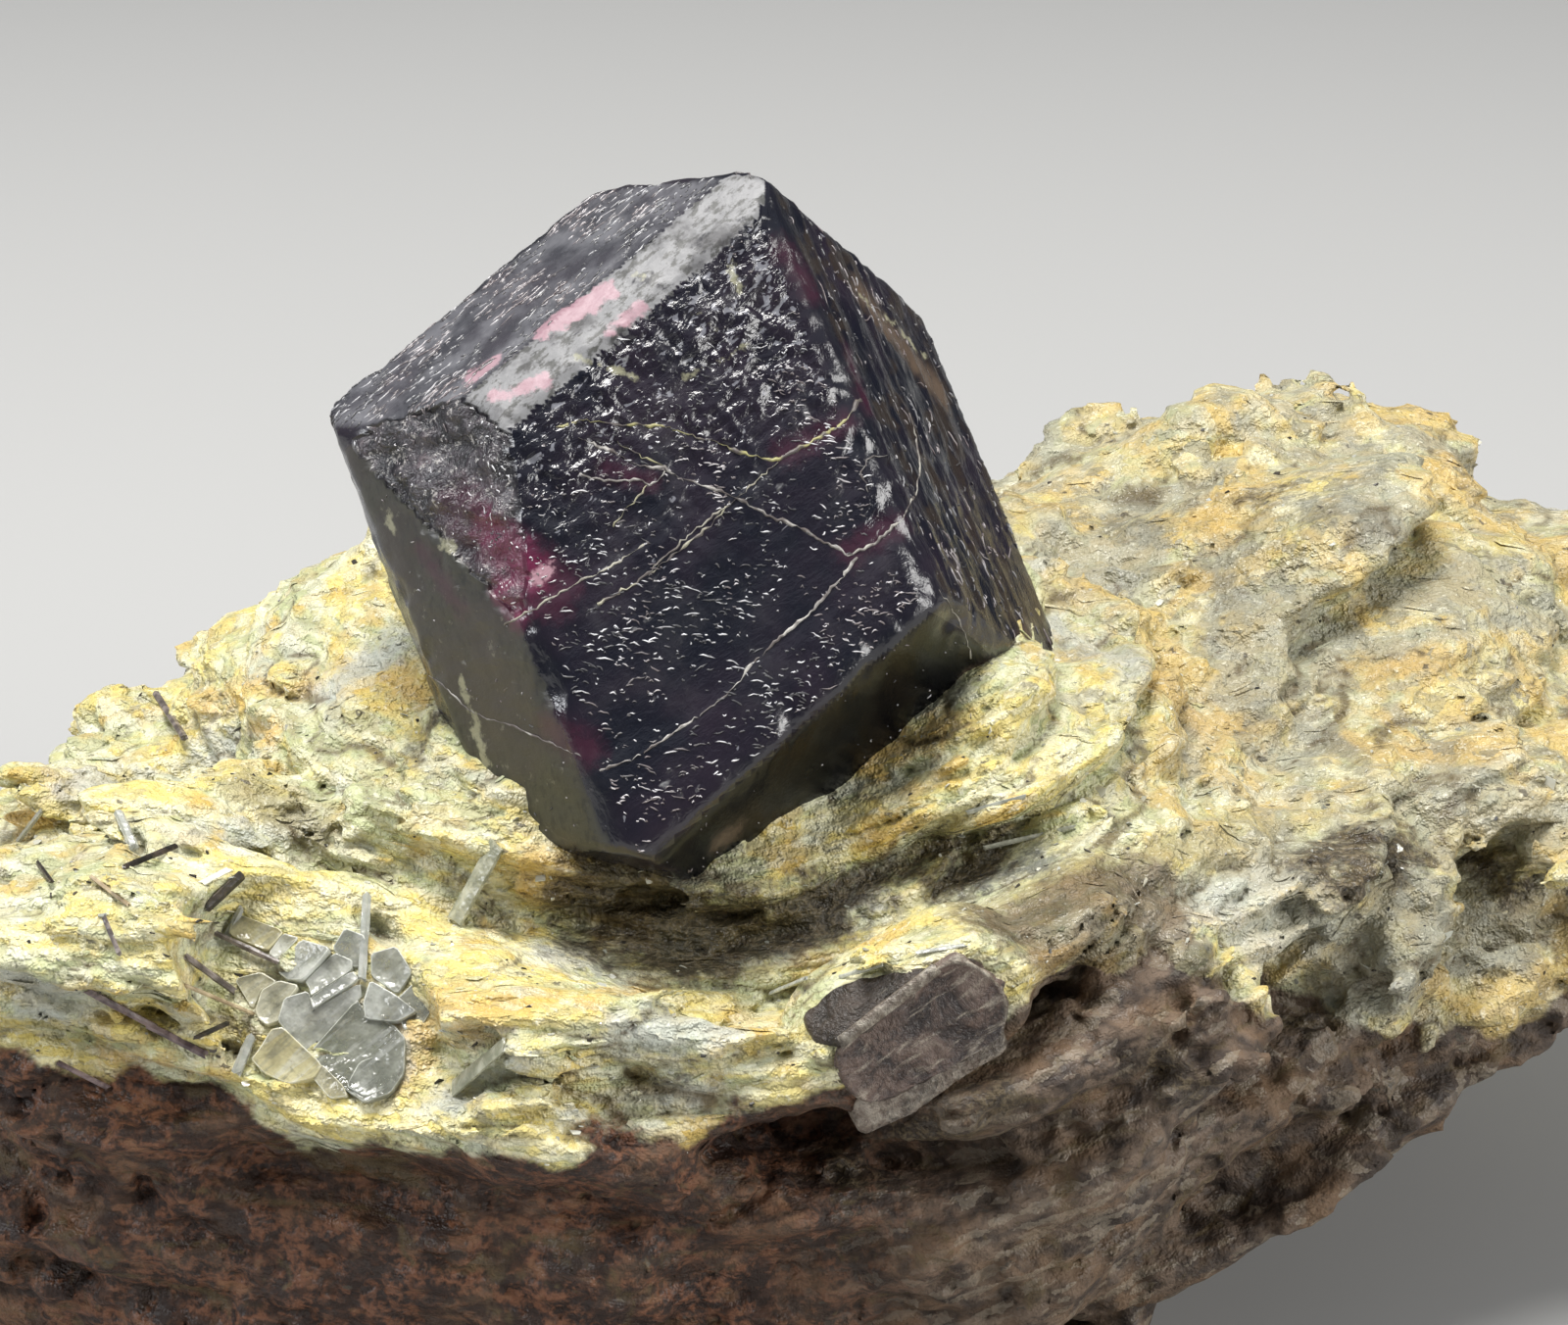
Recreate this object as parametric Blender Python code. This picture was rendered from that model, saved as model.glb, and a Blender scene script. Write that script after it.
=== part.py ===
"""Garnet crystal in a hand specimen of mica schist.

Metres, +Z up. X runs along the specimen, Y from its front to its back, and
the specimen rests on a flat face at Z = 0. Lengths below are in millimetres
and are scaled by MM when a mesh is made.
"""
import math

import bmesh
import bpy
import numpy as np
from mathutils import Euler, Matrix, Vector

MM = 0.001
CLEARANCE = 0.3

# Garnet: centre, turn of its crystal axes in degrees, and how far each
# rhombic face lies from the centre, by the face's Miller indices
GARNET_CENTRE = Vector((-2.6, 1.3, 23.0))
GARNET_TURN = (-16.0, 14.6, -92.2)
UPPER_LEFT = (0, -1, 1)
FRONT = (1, 0, 1)
RIGHT = (0, 1, 1)
LOWER_RIGHT = (1, 1, 0)
LOWER_LEFT = (1, -1, 0)
TOP_BACK = (-1, 0, 1)
BACK_LEFT = (-1, -1, 0)
BACK_RIGHT = (-1, 1, 0)
LEFT = (0, -1, -1)
BOTTOM_FRONT = (1, 0, -1)
BOTTOM_BACK = (-1, 0, -1)
BOTTOM_RIGHT = (0, 1, -1)
RHOMBIC_FACES = {
    UPPER_LEFT: 8.6,
    FRONT: 7.25,
    RIGHT: 7.1,
    LOWER_RIGHT: 8.9,
    LOWER_LEFT: 9.2,
    TOP_BACK: 8.35,
    BACK_LEFT: 6.9,
    BACK_RIGHT: 8.2,
    LEFT: 6.2,
    BOTTOM_FRONT: 10.3,
    BOTTOM_BACK: 8.2,
    BOTTOM_RIGHT: 8.2,
}
# Depth of the narrow trapezohedral face that blunts the edge of two faces
EDGE_DEPTHS = {
    (UPPER_LEFT, FRONT): 0.34,
    (FRONT, RIGHT): 0.25,
    (FRONT, LOWER_RIGHT): 0.1,
    (FRONT, LOWER_LEFT): 0.2,
    (UPPER_LEFT, LOWER_LEFT): 0.15,
    (UPPER_LEFT, BACK_LEFT): 0.15,
    (LOWER_LEFT, LEFT): 0.2,
    (UPPER_LEFT, TOP_BACK): 0.1,
    (RIGHT, LOWER_RIGHT): 0.2,
    (RIGHT, TOP_BACK): 0.15,
    (TOP_BACK, BACK_RIGHT): 0.15,
    (TOP_BACK, BACK_LEFT): 0.12,
}
# Half the angle between the normals of two rhombic faces that share an edge
HALF_FACE_ANGLE = math.radians(30.0)
# Growth steps on the front face: each riser runs along an edge direction of
# the crystal, this far above the face's middle, and lowers what is above it
# by this depth
STEP_RUN = (1, -1, -1)
GROWTH_STEPS = ((-0.1, 0.24), (-4.1, 0.12))
BLOCK_SIZE = 60.0

# Rock: outline in plan, heights of its upper surface and shape of its sides
OUTLINE = (
    (-29.5, -2.0), (-26.5, -7.5), (-20.5, -10.2), (-15.5, -11.6), (-10.0, -12.8),
    (-5.0, -13.6), (1.0, -13.6), (6.5, -12.0), (11.0, -8.8), (15.0, -5.8),
    (20.0, -2.6), (25.0, 1.2), (29.5, 7.5), (30.5, 13.0), (27.5, 19.5),
    (22.5, 24.0), (15.5, 25.4), (7.5, 22.6), (-1.0, 19.6), (-10.0, 16.2),
    (-19.0, 12.0), (-26.5, 6.0),
)
HEIGHTS = {
    "left end": (-28.0, -2.0, 11.6),
    "left end, back": (-23.0, 7.5, 12.0),
    "left crest": (-22.1, 0.0, 14.6),
    "crest": (-19.5, 1.0, 15.5),
    "crest towards the garnet": (-16.7, 2.0, 16.4),
    "shoulder left of the garnet": (-13.7, 3.0, 19.8),
    "crest behind the garnet": (-11.5, 5.5, 22.0),
    "left slope, middle": (-21.5, -4.5, 14.5),
    "left slope, front": (-20.5, -9.0, 13.2),
    "front slope, left": (-15.5, -9.0, 14.0),
    "slope below the shoulder": (-13.0, -3.5, 17.0),
    "contact, left": (-9.7, -4.7, 19.3),
    "contact, front left": (-6.3, -8.3, 17.5),
    "contact, front": (-1.0, -7.9, 17.3),
    "front slope": (-10.0, -10.5, 14.4),
    "hollow": (-3.5, -10.4, 14.6),
    "hollow, right": (0.6, -8.6, 15.2),
    "front ledge, left": (-5.4, -12.5, 15.4),
    "front ledge, middle": (-1.5, -12.6, 15.6),
    "front ledge, right": (2.0, -12.0, 16.4),
    "ledge end": (4.6, -10.8, 16.3),
    "contact, front right": (2.6, -4.9, 18.6),
    "lump right of the garnet": (5.0, -5.6, 18.9),
    "lump slope": (7.0, -7.0, 17.4),
    "rounded lump": (7.4, -9.0, 16.0),
    "contact, right": (5.6, -3.0, 20.3),
    "contact, far right": (7.6, 2.8, 19.8),
    "right slope": (11.5, 0.0, 18.1),
    "right slope, low": (15.5, 1.0, 16.7),
    "right slope, front": (19.0, -1.2, 14.0),
    "right end, front": (25.0, 4.0, 14.0),
    "right saddle": (13.2, 7.0, 18.9),
    "foot of the hump": (18.6, 10.0, 19.4),
    "right shoulder": (24.0, 12.0, 17.2),
    "right end": (29.0, 13.0, 14.8),
    "top of the hump": (17.4, 19.5, 21.7),
    "hump, right": (21.5, 17.5, 19.6),
    "back right": (11.0, 15.0, 19.2),
    "behind the garnet, right": (6.3, 12.0, 19.8),
    "behind the garnet": (-3.0, 13.5, 18.6),
    "back left": (-13.0, 12.0, 16.4),
}
HEIGHT_SOFTNESS = 1.5
UNDERCUT = 4.2
UNDERCUT_TOP = 11.5
UNDERCUT_CURVE = 1.5
UNDERCUT_LIMIT = 1.2
UNDERSIDE_DEPTH = 2.0
UNDERSIDE_RISE_FROM = 4.5
UNDERSIDE_SLOPE = 0.64
UNDERSIDE_BEND = 1.5
EDGE_ROUNDING = 2.6
LUMP_ROUNDING = 1.0
HOLLOW_ROUNDING = 0.8

# Foliation: the layers dip under the garnet and rise to the right
BOWL_CENTRE = (-2.0, -2.0)
BOWL_DEPTH = 5.0
BOWL_RADIUS = 9.5
LAYER_RISE = 0.26
LAYER_RISE_FROM = 4.0
LAYER_RISE_BEND = 3.0

# Relief: size along and across the layers, height and seed
LUMP_RELIEF = (9.0, 5.0, 1.3, 11)
LEDGE_RELIEF = (6.0, 1.9, 1.25, 23)
THIN_LEDGE_RELIEF = (3.2, 1.1, 0.55, 37)

# Lumps added to the rock and hollows taken out: centre and half lengths
LUMPS = {
    "yellow lump right of the garnet": ((5.2, -5.9, 17.7), (2.4, 1.6, 1.3)),
    "rounded lump": ((7.6, -8.7, 14.8), (2.6, 1.9, 1.5)),
    "knob left of the garnet": ((-10.6, -6.4, 17.0), (1.5, 1.2, 1.2)),
    "orange knob": ((-6.9, -10.0, 15.2), (1.6, 1.3, 1.1)),
    "lump on the right slope": ((12.0, -1.6, 16.6), (2.2, 1.6, 1.6)),
    "right bulge": ((20.0, 3.0, 14.0), (3.4, 3.0, 2.6)),
}
HOLLOWS = {
    "hollow under the garnet": ((-0.8, -10.9, 15.2), (4.4, 1.5, 1.1)),
    "cleft right of the hollow": ((4.0, -9.3, 16.9), (2.0, 1.3, 0.8)),
    "notch below the mica book": ((4.0, -13.0, 9.9), (2.2, 1.8, 0.9)),
    "notch in the left slope": ((-15.0, -4.6, 16.9), (3.0, 1.2, 0.9)),
    "saddle at the right": ((15.0, -5.4, 12.0), (2.4, 1.1, 1.0)),
}

# Grid that is drawn onto the rock: cells, middle and inner and outer box
GRID_CELLS = (40, 27, 14)
GRID_MIDDLE = np.array((0.5, 5.0, 9.0))
GRID_INNER = np.array((17.0, 7.0, 1.5))
GRID_OUTER = np.array((48.0, 36.0, 24.0))
RAY_SAMPLES = 90

# Mica crystals: outline in their own plane, sheets from the inner one out
# (thickness, size against the outline, shift in the plane), place and turn
BOOK_OUTLINE = (
    (-2.9, -1.2), (-0.4, -1.45), (2.0, -1.35), (2.8, -0.5), (2.5, 1.2), (-2.2, 1.35), (-3.1, 0.2),
)
BOOK_SHEETS = ((1.1, 1.0, (0.0, 0.0)), (0.4, 0.9, (0.2, 0.05)), (0.3, 0.76, (0.45, 0.1)))
BOOK_PLACE = (3.4, -12.0, 13.6)
BOOK_TURN = (88.0, -27.0, 13.0)
PLATES_OUTLINE = (
    (-2.1, -1.5), (0.2, -2.1), (2.2, -1.7), (2.3, 0.6), (1.2, 2.0), (-1.0, 2.1), (-2.3, 0.6),
)
PLATES_SHEETS = ((1.0, 1.0, (0.0, 0.0)), (0.35, 0.84, (0.25, 0.2)), (0.3, 0.6, (-0.3, 0.3)))
PLATES_PLACE = (-11.9, -10.7, 13.6)
PLATES_TURN = (42.0, -30.0, 22.0)
BOOK = (BOOK_OUTLINE, BOOK_SHEETS, BOOK_PLACE, BOOK_TURN)
PLATES = (PLATES_OUTLINE, PLATES_SHEETS, PLATES_PLACE, PLATES_TURN)

# Colour, roughness and metallic value of each material
GARNET_LOOK = ((0.035, 0.012, 0.018), 0.22, 0.0)
SCHIST_LOOK = ((0.42, 0.36, 0.17), 0.7, 0.0)
BOOK_LOOK = ((0.12, 0.085, 0.08), 0.35, 0.0)
PLATES_LOOK = ((0.5, 0.5, 0.42), 0.25, 0.0)


def clear_scene():
    for item in list(bpy.data.objects):
        bpy.data.objects.remove(item, do_unlink=True)


def make_material(name, look):
    colour, roughness, metallic = look
    material = bpy.data.materials.new(name)
    material.use_nodes = True
    shader = material.node_tree.nodes["Principled BSDF"]
    shader.inputs["Base Color"].default_value = (*colour, 1.0)
    shader.inputs["Roughness"].default_value = roughness
    shader.inputs["Metallic"].default_value = metallic
    return material


def add_object(name, bm, material=None):
    """Turn a mesh in millimetres into an object in metres."""
    bmesh.ops.scale(bm, vec=(MM, MM, MM), verts=bm.verts)
    bmesh.ops.recalc_face_normals(bm, faces=bm.faces)
    mesh = bpy.data.meshes.new(name)
    bm.to_mesh(mesh)
    bm.free()
    item = bpy.data.objects.new(name, mesh)
    bpy.context.scene.collection.objects.link(item)
    if material:
        mesh.materials.append(material)
    return item


def subtract(item, cutter):
    """Cut one object out of another and keep the cutter as a guide."""
    cutter.hide_render = True
    cutter.display_type = "WIRE"
    cut = item.modifiers.new(cutter.name, "BOOLEAN")
    cut.operation = "DIFFERENCE"
    cut.solver = "EXACT"
    cut.object = cutter


def slice_off(bm, point, normal):
    """Cut away what lies beyond a plane and close the cut with one face."""
    geometry = list(bm.verts) + list(bm.edges) + list(bm.faces)
    cut = bmesh.ops.bisect_plane(
        bm, geom=geometry, plane_co=point, plane_no=normal, clear_outer=True, dist=1e-5)
    rim = [part for part in cut["geom_cut"] if isinstance(part, bmesh.types.BMEdge)]
    if rim:
        bmesh.ops.contextual_create(bm, geom=rim)


# Garnet

def crystal_direction(index):
    """World direction of a face normal or edge with these indices."""
    turn = Euler([math.radians(angle) for angle in GARNET_TURN]).to_matrix()
    return (turn @ Vector(index)).normalized()


def garnet_mesh(grow=0.0):
    """Cut the crystal from a block with the planes of its faces."""
    bm = bmesh.new()
    bmesh.ops.create_cube(bm, size=BLOCK_SIZE, matrix=Matrix.Translation(GARNET_CENTRE))
    for index, distance in RHOMBIC_FACES.items():
        normal = crystal_direction(index)
        slice_off(bm, GARNET_CENTRE + normal * (distance + grow), normal)
    for (first, second), depth in EDGE_DEPTHS.items():
        normal = (crystal_direction(first) + crystal_direction(second)).normalized()
        mean_distance = (RHOMBIC_FACES[first] + RHOMBIC_FACES[second]) / 2.0
        edge_distance = mean_distance / math.cos(HALF_FACE_ANGLE)
        slice_off(bm, GARNET_CENTRE + normal * (edge_distance - depth + grow), normal)
    return bm


def growth_step_cutter(name, reach, depth):
    """A block that cuts a layer off the front face above a line."""
    out = crystal_direction(FRONT)
    run = crystal_direction(STEP_RUN)
    up = out.cross(run)
    if up.z < 0.0:
        up = -up
    half = BLOCK_SIZE / 2.0
    face_point = GARNET_CENTRE + out * (RHOMBIC_FACES[FRONT] - depth)
    middle = face_point + up * (reach + half) + out * half
    placing = Matrix((run, up, out)).transposed().to_4x4()
    placing.translation = middle
    bm = bmesh.new()
    bmesh.ops.create_cube(bm, size=BLOCK_SIZE, matrix=placing)
    return add_object(name, bm)


def build_garnet():
    garnet = add_object("garnet", garnet_mesh(), make_material("garnet_red_black", GARNET_LOOK))
    for number, (reach, depth) in enumerate(GROWTH_STEPS, start=1):
        subtract(garnet, growth_step_cutter(f"growth_step_cutter_{number}", reach, depth))
    return garnet


# Rock

def smooth_max(first, second, radius):
    blend = np.maximum(radius - np.abs(first - second), 0.0) / radius
    return np.maximum(first, second) + blend * blend * radius / 4.0


def smooth_min(first, second, radius):
    return -smooth_max(-first, -second, radius)


def corner_value(i, j, k, seed):
    """A repeatable number from -1 to 1 for each corner of a lattice."""
    mixed = (i * 73856093) ^ (j * 19349663) ^ (k * 83492791) ^ (seed * 2654435761)
    mixed = (mixed ^ (mixed >> 13)) * 1274126177 & 0xFFFFFFFF
    mixed = (mixed ^ (mixed >> 16)) & 0xFFFFFF
    return mixed / 8388607.5 - 1.0


def noise(x, y, z, seed):
    """Smooth noise: lattice numbers blended between whole coordinates."""
    base = [np.floor(value).astype(np.int64) for value in (x, y, z)]
    part = [value - low for value, low in zip((x, y, z), base)]
    blend = [t * t * t * (t * (t * 6.0 - 15.0) + 10.0) for t in part]
    total = np.zeros(np.broadcast(x, y, z).shape)
    for di in (0, 1):
        for dj in (0, 1):
            for dk in (0, 1):
                weight = (blend[0] if di else 1.0 - blend[0])
                weight = weight * (blend[1] if dj else 1.0 - blend[1])
                weight = weight * (blend[2] if dk else 1.0 - blend[2])
                total += weight * corner_value(base[0] + di, base[1] + dj, base[2] + dk, seed)
    return total


def softplus(value, width):
    return width * np.logaddexp(0.0, value / width)


def layer_bend(x, y):
    """How far the layers are lifted at a place in plan."""
    reach = np.hypot(x - BOWL_CENTRE[0], y - BOWL_CENTRE[1]) / BOWL_RADIUS
    bowl = -BOWL_DEPTH * np.exp(-0.5 * reach * reach)
    return bowl + LAYER_RISE * softplus(x - LAYER_RISE_FROM, LAYER_RISE_BEND)


def height_kernel(distance):
    return np.sqrt(distance * distance + HEIGHT_SOFTNESS ** 2)


def height_weights():
    """Weights that carry a smooth surface through the named heights."""
    points = np.array(list(HEIGHTS.values()))
    gaps = np.hypot(*(points[:, None, :2] - points[None, :, :2]).transpose(2, 0, 1))
    mean = points[:, 2].mean()
    return points, mean, np.linalg.solve(height_kernel(gaps), points[:, 2] - mean)


def top_height(x, y):
    points, mean, weights = height_weights()
    height = np.full(np.broadcast(x, y).shape, mean)
    for (px, py, _), weight in zip(points, weights):
        height += weight * height_kernel(np.hypot(x - px, y - py))
    return height


def outline_curve(per_point=5):
    """The outline as a smooth closed curve through its points."""
    points = np.array(OUTLINE)
    before, after = np.roll(points, 1, axis=0), np.roll(points, -1, axis=0)
    beyond = np.roll(points, -2, axis=0)
    curve = []
    for t in np.arange(per_point) / per_point:
        curve.append(0.5 * (2.0 * points + (after - before) * t
                            + (2.0 * before - 5.0 * points + 4.0 * after - beyond) * t ** 2
                            + (3.0 * points - before - 3.0 * after + beyond) * t ** 3))
    return np.stack(curve, axis=1).reshape(-1, 2)


def outline_distance(x, y):
    """Distance in plan from the outline, below zero inside it."""
    curve = outline_curve()
    nearest = np.full(x.shape, np.inf)
    inside = np.zeros(x.shape, dtype=bool)
    for (ax, ay), (bx, by) in zip(curve, np.roll(curve, -1, axis=0)):
        ex, ey = bx - ax, by - ay
        along = np.clip(((x - ax) * ex + (y - ay) * ey) / (ex * ex + ey * ey), 0.0, 1.0)
        nearest = np.minimum(nearest, np.hypot(x - ax - along * ex, y - ay - along * ey))
        crosses = (ay > y) != (by > y)
        if ey != 0.0:
            inside ^= crosses & (x < ax + (y - ay) * ex / ey)
    return np.where(inside, -nearest, nearest)


def ellipsoid(x, y, z, centre, half):
    dx, dy, dz = ((value - middle) / size for value, middle, size in zip((x, y, z), centre, half))
    return (np.sqrt(dx * dx + dy * dy + dz * dz) - 1.0) * min(half)


def rock_field(x, y, z):
    """Signed depth of a point in millimetres, below zero inside the rock."""
    layer = z - layer_bend(x, y)
    undercut = np.clip((UNDERCUT_TOP - z) / UNDERCUT_TOP, 0.0, UNDERCUT_LIMIT)
    side = outline_distance(x, y) + UNDERCUT * undercut ** UNDERCUT_CURVE
    underside = UNDERSIDE_SLOPE * softplus(x - UNDERSIDE_RISE_FROM, UNDERSIDE_BEND) - UNDERSIDE_DEPTH
    field = smooth_max(z - top_height(x, y), side, EDGE_ROUNDING)
    field = smooth_max(field, underside - z, EDGE_ROUNDING)
    for centre, half in LUMPS.values():
        field = smooth_min(field, ellipsoid(x, y, z, centre, half), LUMP_ROUNDING)
    for centre, half in HOLLOWS.values():
        field = smooth_max(field, -ellipsoid(x, y, z, centre, half), HOLLOW_ROUNDING)
    for along, across, height, seed in (LUMP_RELIEF, LEDGE_RELIEF, THIN_LEDGE_RELIEF):
        field = field + height * noise(x / along, y / along, layer / across, seed)
    return field


def grid_surface():
    """Corners of a box that is split into cells, and its square faces."""
    corners = {}
    faces = []

    def corner(cell):
        return corners.setdefault(tuple(cell), len(corners))

    for axis in range(3):
        across, up = (axis + 1) % 3, (axis + 2) % 3
        for side in (0, GRID_CELLS[axis]):
            for i in range(GRID_CELLS[across]):
                for j in range(GRID_CELLS[up]):
                    face = []
                    for di, dj in ((0, 0), (1, 0), (1, 1), (0, 1)):
                        cell = [0, 0, 0]
                        cell[axis], cell[across], cell[up] = side, i + di, j + dj
                        face.append(corner(cell))
                    faces.append(face if side else face[::-1])
    return np.array(list(corners)), faces


def rock_points(cells):
    """Move each corner of the grid out along its line to the rock's surface."""
    unit = 2.0 * cells / np.array(GRID_CELLS) - 1.0
    start = GRID_MIDDLE + unit * GRID_INNER
    end = GRID_MIDDLE + unit * GRID_OUTER
    share = np.linspace(0.0, 1.0, RAY_SAMPLES)
    samples = start[:, None, :] + (end - start)[:, None, :] * share[None, :, None]
    depth = rock_field(samples[..., 0], samples[..., 1], samples[..., 2])
    outside = depth > 0.0
    first = np.argmax(outside, axis=1)
    rows = np.arange(len(cells))
    inner, outer = depth[rows, first - 1], depth[rows, first]
    blend = inner / (inner - outer)
    found = share[first - 1] + blend * (share[first] - share[first - 1])
    return start + (end - start) * found[:, None]


def schist_mesh():
    cells, faces = grid_surface()
    bm = bmesh.new()
    verts = [bm.verts.new(point) for point in rock_points(cells)]
    for face in faces:
        bm.faces.new([verts[index] for index in face])
    bmesh.ops.triangulate(bm, faces=bm.faces, quad_method="SHORT_EDGE")
    slice_off(bm, (0.0, 0.0, 0.0), (0.0, 0.0, -1.0))
    return bm


# Mica crystals

def mica_mesh(outline, sheets, place, turn, grow=0.0):
    """A stack of cleaved sheets, closed at both ends."""
    reach = min(math.hypot(x, y) for x, y in outline)
    level = -grow
    rings = []
    for thickness, size, (shift_x, shift_y) in sheets:
        stretch = size + grow / reach
        for height in (level, level + thickness + (2.0 * grow if not rings else 0.0)):
            rings.append([(x * stretch + shift_x, y * stretch + shift_y, height) for x, y in outline])
        level = rings[-1][0][2]
    bm = bmesh.new()
    loops = [[bm.verts.new(point) for point in ring] for ring in rings]
    for lower, upper in zip(loops, loops[1:]):
        for index in range(len(outline)):
            after = (index + 1) % len(outline)
            bm.faces.new((lower[index], lower[after], upper[after], upper[index]))
    bm.faces.new(loops[0][::-1])
    bm.faces.new(loops[-1])
    placing = Euler([math.radians(angle) for angle in turn]).to_matrix().to_4x4()
    placing.translation = Vector(place)
    bmesh.ops.transform(bm, matrix=placing, verts=bm.verts)
    return bm


def build_mica(name, shape, look):
    return add_object(name, mica_mesh(*shape), make_material(name + "_sheets", look))


def build_schist():
    schist = add_object("schist", schist_mesh(), make_material("mica_schist", SCHIST_LOOK))
    sockets = (
        add_object("garnet_socket_cutter", garnet_mesh(grow=CLEARANCE)),
        add_object("book_socket_cutter", mica_mesh(*BOOK, grow=CLEARANCE)),
        add_object("plates_socket_cutter", mica_mesh(*PLATES, grow=CLEARANCE)),
    )
    for socket in sockets:
        subtract(schist, socket)
    return schist


clear_scene()
build_garnet()
build_mica("mica_book", BOOK, BOOK_LOOK)
build_mica("mica_plates", PLATES, PLATES_LOOK)
build_schist()
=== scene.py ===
import math
from itertools import product
from types import SimpleNamespace

import bpy
import numpy as np
from mathutils import Euler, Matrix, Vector
from mathutils.bvhtree import BVHTree


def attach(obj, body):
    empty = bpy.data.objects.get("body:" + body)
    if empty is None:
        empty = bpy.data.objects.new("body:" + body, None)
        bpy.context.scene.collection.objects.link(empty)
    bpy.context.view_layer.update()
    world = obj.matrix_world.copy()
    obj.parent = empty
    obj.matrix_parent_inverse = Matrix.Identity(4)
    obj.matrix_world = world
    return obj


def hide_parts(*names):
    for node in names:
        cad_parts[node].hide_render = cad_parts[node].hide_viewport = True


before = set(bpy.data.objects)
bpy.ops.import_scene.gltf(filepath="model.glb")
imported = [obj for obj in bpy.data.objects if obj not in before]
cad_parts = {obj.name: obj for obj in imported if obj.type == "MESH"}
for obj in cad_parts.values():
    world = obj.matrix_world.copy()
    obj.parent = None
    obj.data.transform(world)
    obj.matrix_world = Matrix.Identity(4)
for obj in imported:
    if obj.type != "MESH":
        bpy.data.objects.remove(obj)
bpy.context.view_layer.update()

# Lengths are in millimetres and are scaled by MM when a mesh is made
MM = 0.001

# Camera: height of the point it looks at, distance, elevation and lens
VIEW_HEIGHT = 19.5
VIEW_DISTANCE = 115.0
VIEW_ELEVATION = math.radians(20.0)
LENS = 94.5
SENSOR = 36.0
PHOTO_WIDTH = 1600.0
PHOTO_HEIGHT = 1352.0

# Reach of a mark for points that it is far from
FAR_FROM_MARKS = 5.0

# Studio: each light's place, target, size, power and colour, the sky, and
# the floor's colour, ring radii and ring heights, all in metres
LIGHTS = (
    ("key", (-0.05, 0.01, 0.36), (0.0, 0.0, 0.015), (0.15, 0.15), 1.75, (1.0, 0.98, 0.95)),
    ("left", (-0.4, -0.16, 0.26), (0.0, 0.0, 0.02), (0.2, 0.2), 1.3, (0.95, 0.97, 1.0)),
    ("right", (0.36, -0.16, 0.16), (0.03, 0.0, 0.0), (0.22, 0.22), 1.3, (1.0, 0.99, 0.97)),
)
SKY_COLOUR = (0.88, 0.93, 1.0)
SKY_STRENGTH = 0.3
FLOOR_COLOUR = (0.415, 0.415, 0.41)
FLOOR_RADII = (0.3, 0.6, 0.8, 0.9, 0.96, 1.0, 1.0)
FLOOR_HEIGHTS = (0.0, 0.0, 0.01, 0.05, 0.14, 0.3, 0.9)
FLOOR_TURNS = 96

# Garnet: centre, turn of its axes, its rhombic faces with their distances and
# the edge directions that their own coordinates run along, and depths of the
# narrow faces that blunt its edges, as in the solid model
GARNET_CENTRE = np.array((-2.6, 1.3, 23.0))
GARNET_TURN = (-16.0, 14.6, -92.2)
UPPER_LEFT = (0, -1, 1)
FRONT = (1, 0, 1)
RIGHT = (0, 1, 1)
LOWER_RIGHT = (1, 1, 0)
LOWER_LEFT = (1, -1, 0)
TOP_BACK = (-1, 0, 1)
BACK_LEFT = (-1, -1, 0)
BACK_RIGHT = (-1, 1, 0)
LEFT = (0, -1, -1)
BOTTOM_FRONT = (1, 0, -1)
BOTTOM_BACK = (-1, 0, -1)
BOTTOM_RIGHT = (0, 1, -1)
RHOMBIC_FACES = {
    UPPER_LEFT: (8.6, (1, -1, -1)),
    FRONT: (7.25, (1, -1, -1)),
    RIGHT: (7.1, (1, 1, -1)),
    LOWER_RIGHT: (8.9, (1, -1, 1)),
    LOWER_LEFT: (9.2, (1, 1, 1)),
    TOP_BACK: (8.35, (1, 1, 1)),
    BACK_LEFT: (6.9, (1, -1, 1)),
    BACK_RIGHT: (8.2, (1, 1, 1)),
    LEFT: (6.2, (1, 1, -1)),
    BOTTOM_FRONT: (10.3, (1, 1, 1)),
    BOTTOM_BACK: (8.2, (1, 1, -1)),
    BOTTOM_RIGHT: (8.2, (1, 1, 1)),
}
EDGE_DEPTHS = {
    (UPPER_LEFT, FRONT): 0.5,
    (FRONT, RIGHT): 0.25,
    (FRONT, LOWER_RIGHT): 0.1,
    (FRONT, LOWER_LEFT): 0.2,
    (UPPER_LEFT, LOWER_LEFT): 0.15,
    (UPPER_LEFT, BACK_LEFT): 0.15,
    (LOWER_LEFT, LEFT): 0.2,
    (UPPER_LEFT, TOP_BACK): 0.1,
    (RIGHT, LOWER_RIGHT): 0.2,
    (RIGHT, TOP_BACK): 0.15,
    (TOP_BACK, BACK_RIGHT): 0.15,
    (TOP_BACK, BACK_LEFT): 0.12,
}
HALF_FACE_ANGLE = math.radians(30.0)
# The left face is a little uneven, and one corner is worn away: direction
# away from the centre and distance of each
LEFT_PLANE = ((-0.8928, 0.1789, -0.4133), 6.56)
WORN = "worn corner"
WORN_PLANE = ((-0.559, -0.7697, 0.3083), 9.2)
GARNET_GRID = 300
EDGE_SOFTNESS = 0.05
EDGE_WEAR = 0.1
EDGE_CHIPS = ((0.7, 0.7, 1.0, 12), (0.28, 0.28, 0.5, 13))
# Faces that a direction meets more flatly than this are left out, as if FAR
LEAST_FACING = 0.05
FAR = 1e3
# How far above the surface a face's relief is still worked out
FACE_OVERLAP = 1.2

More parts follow.
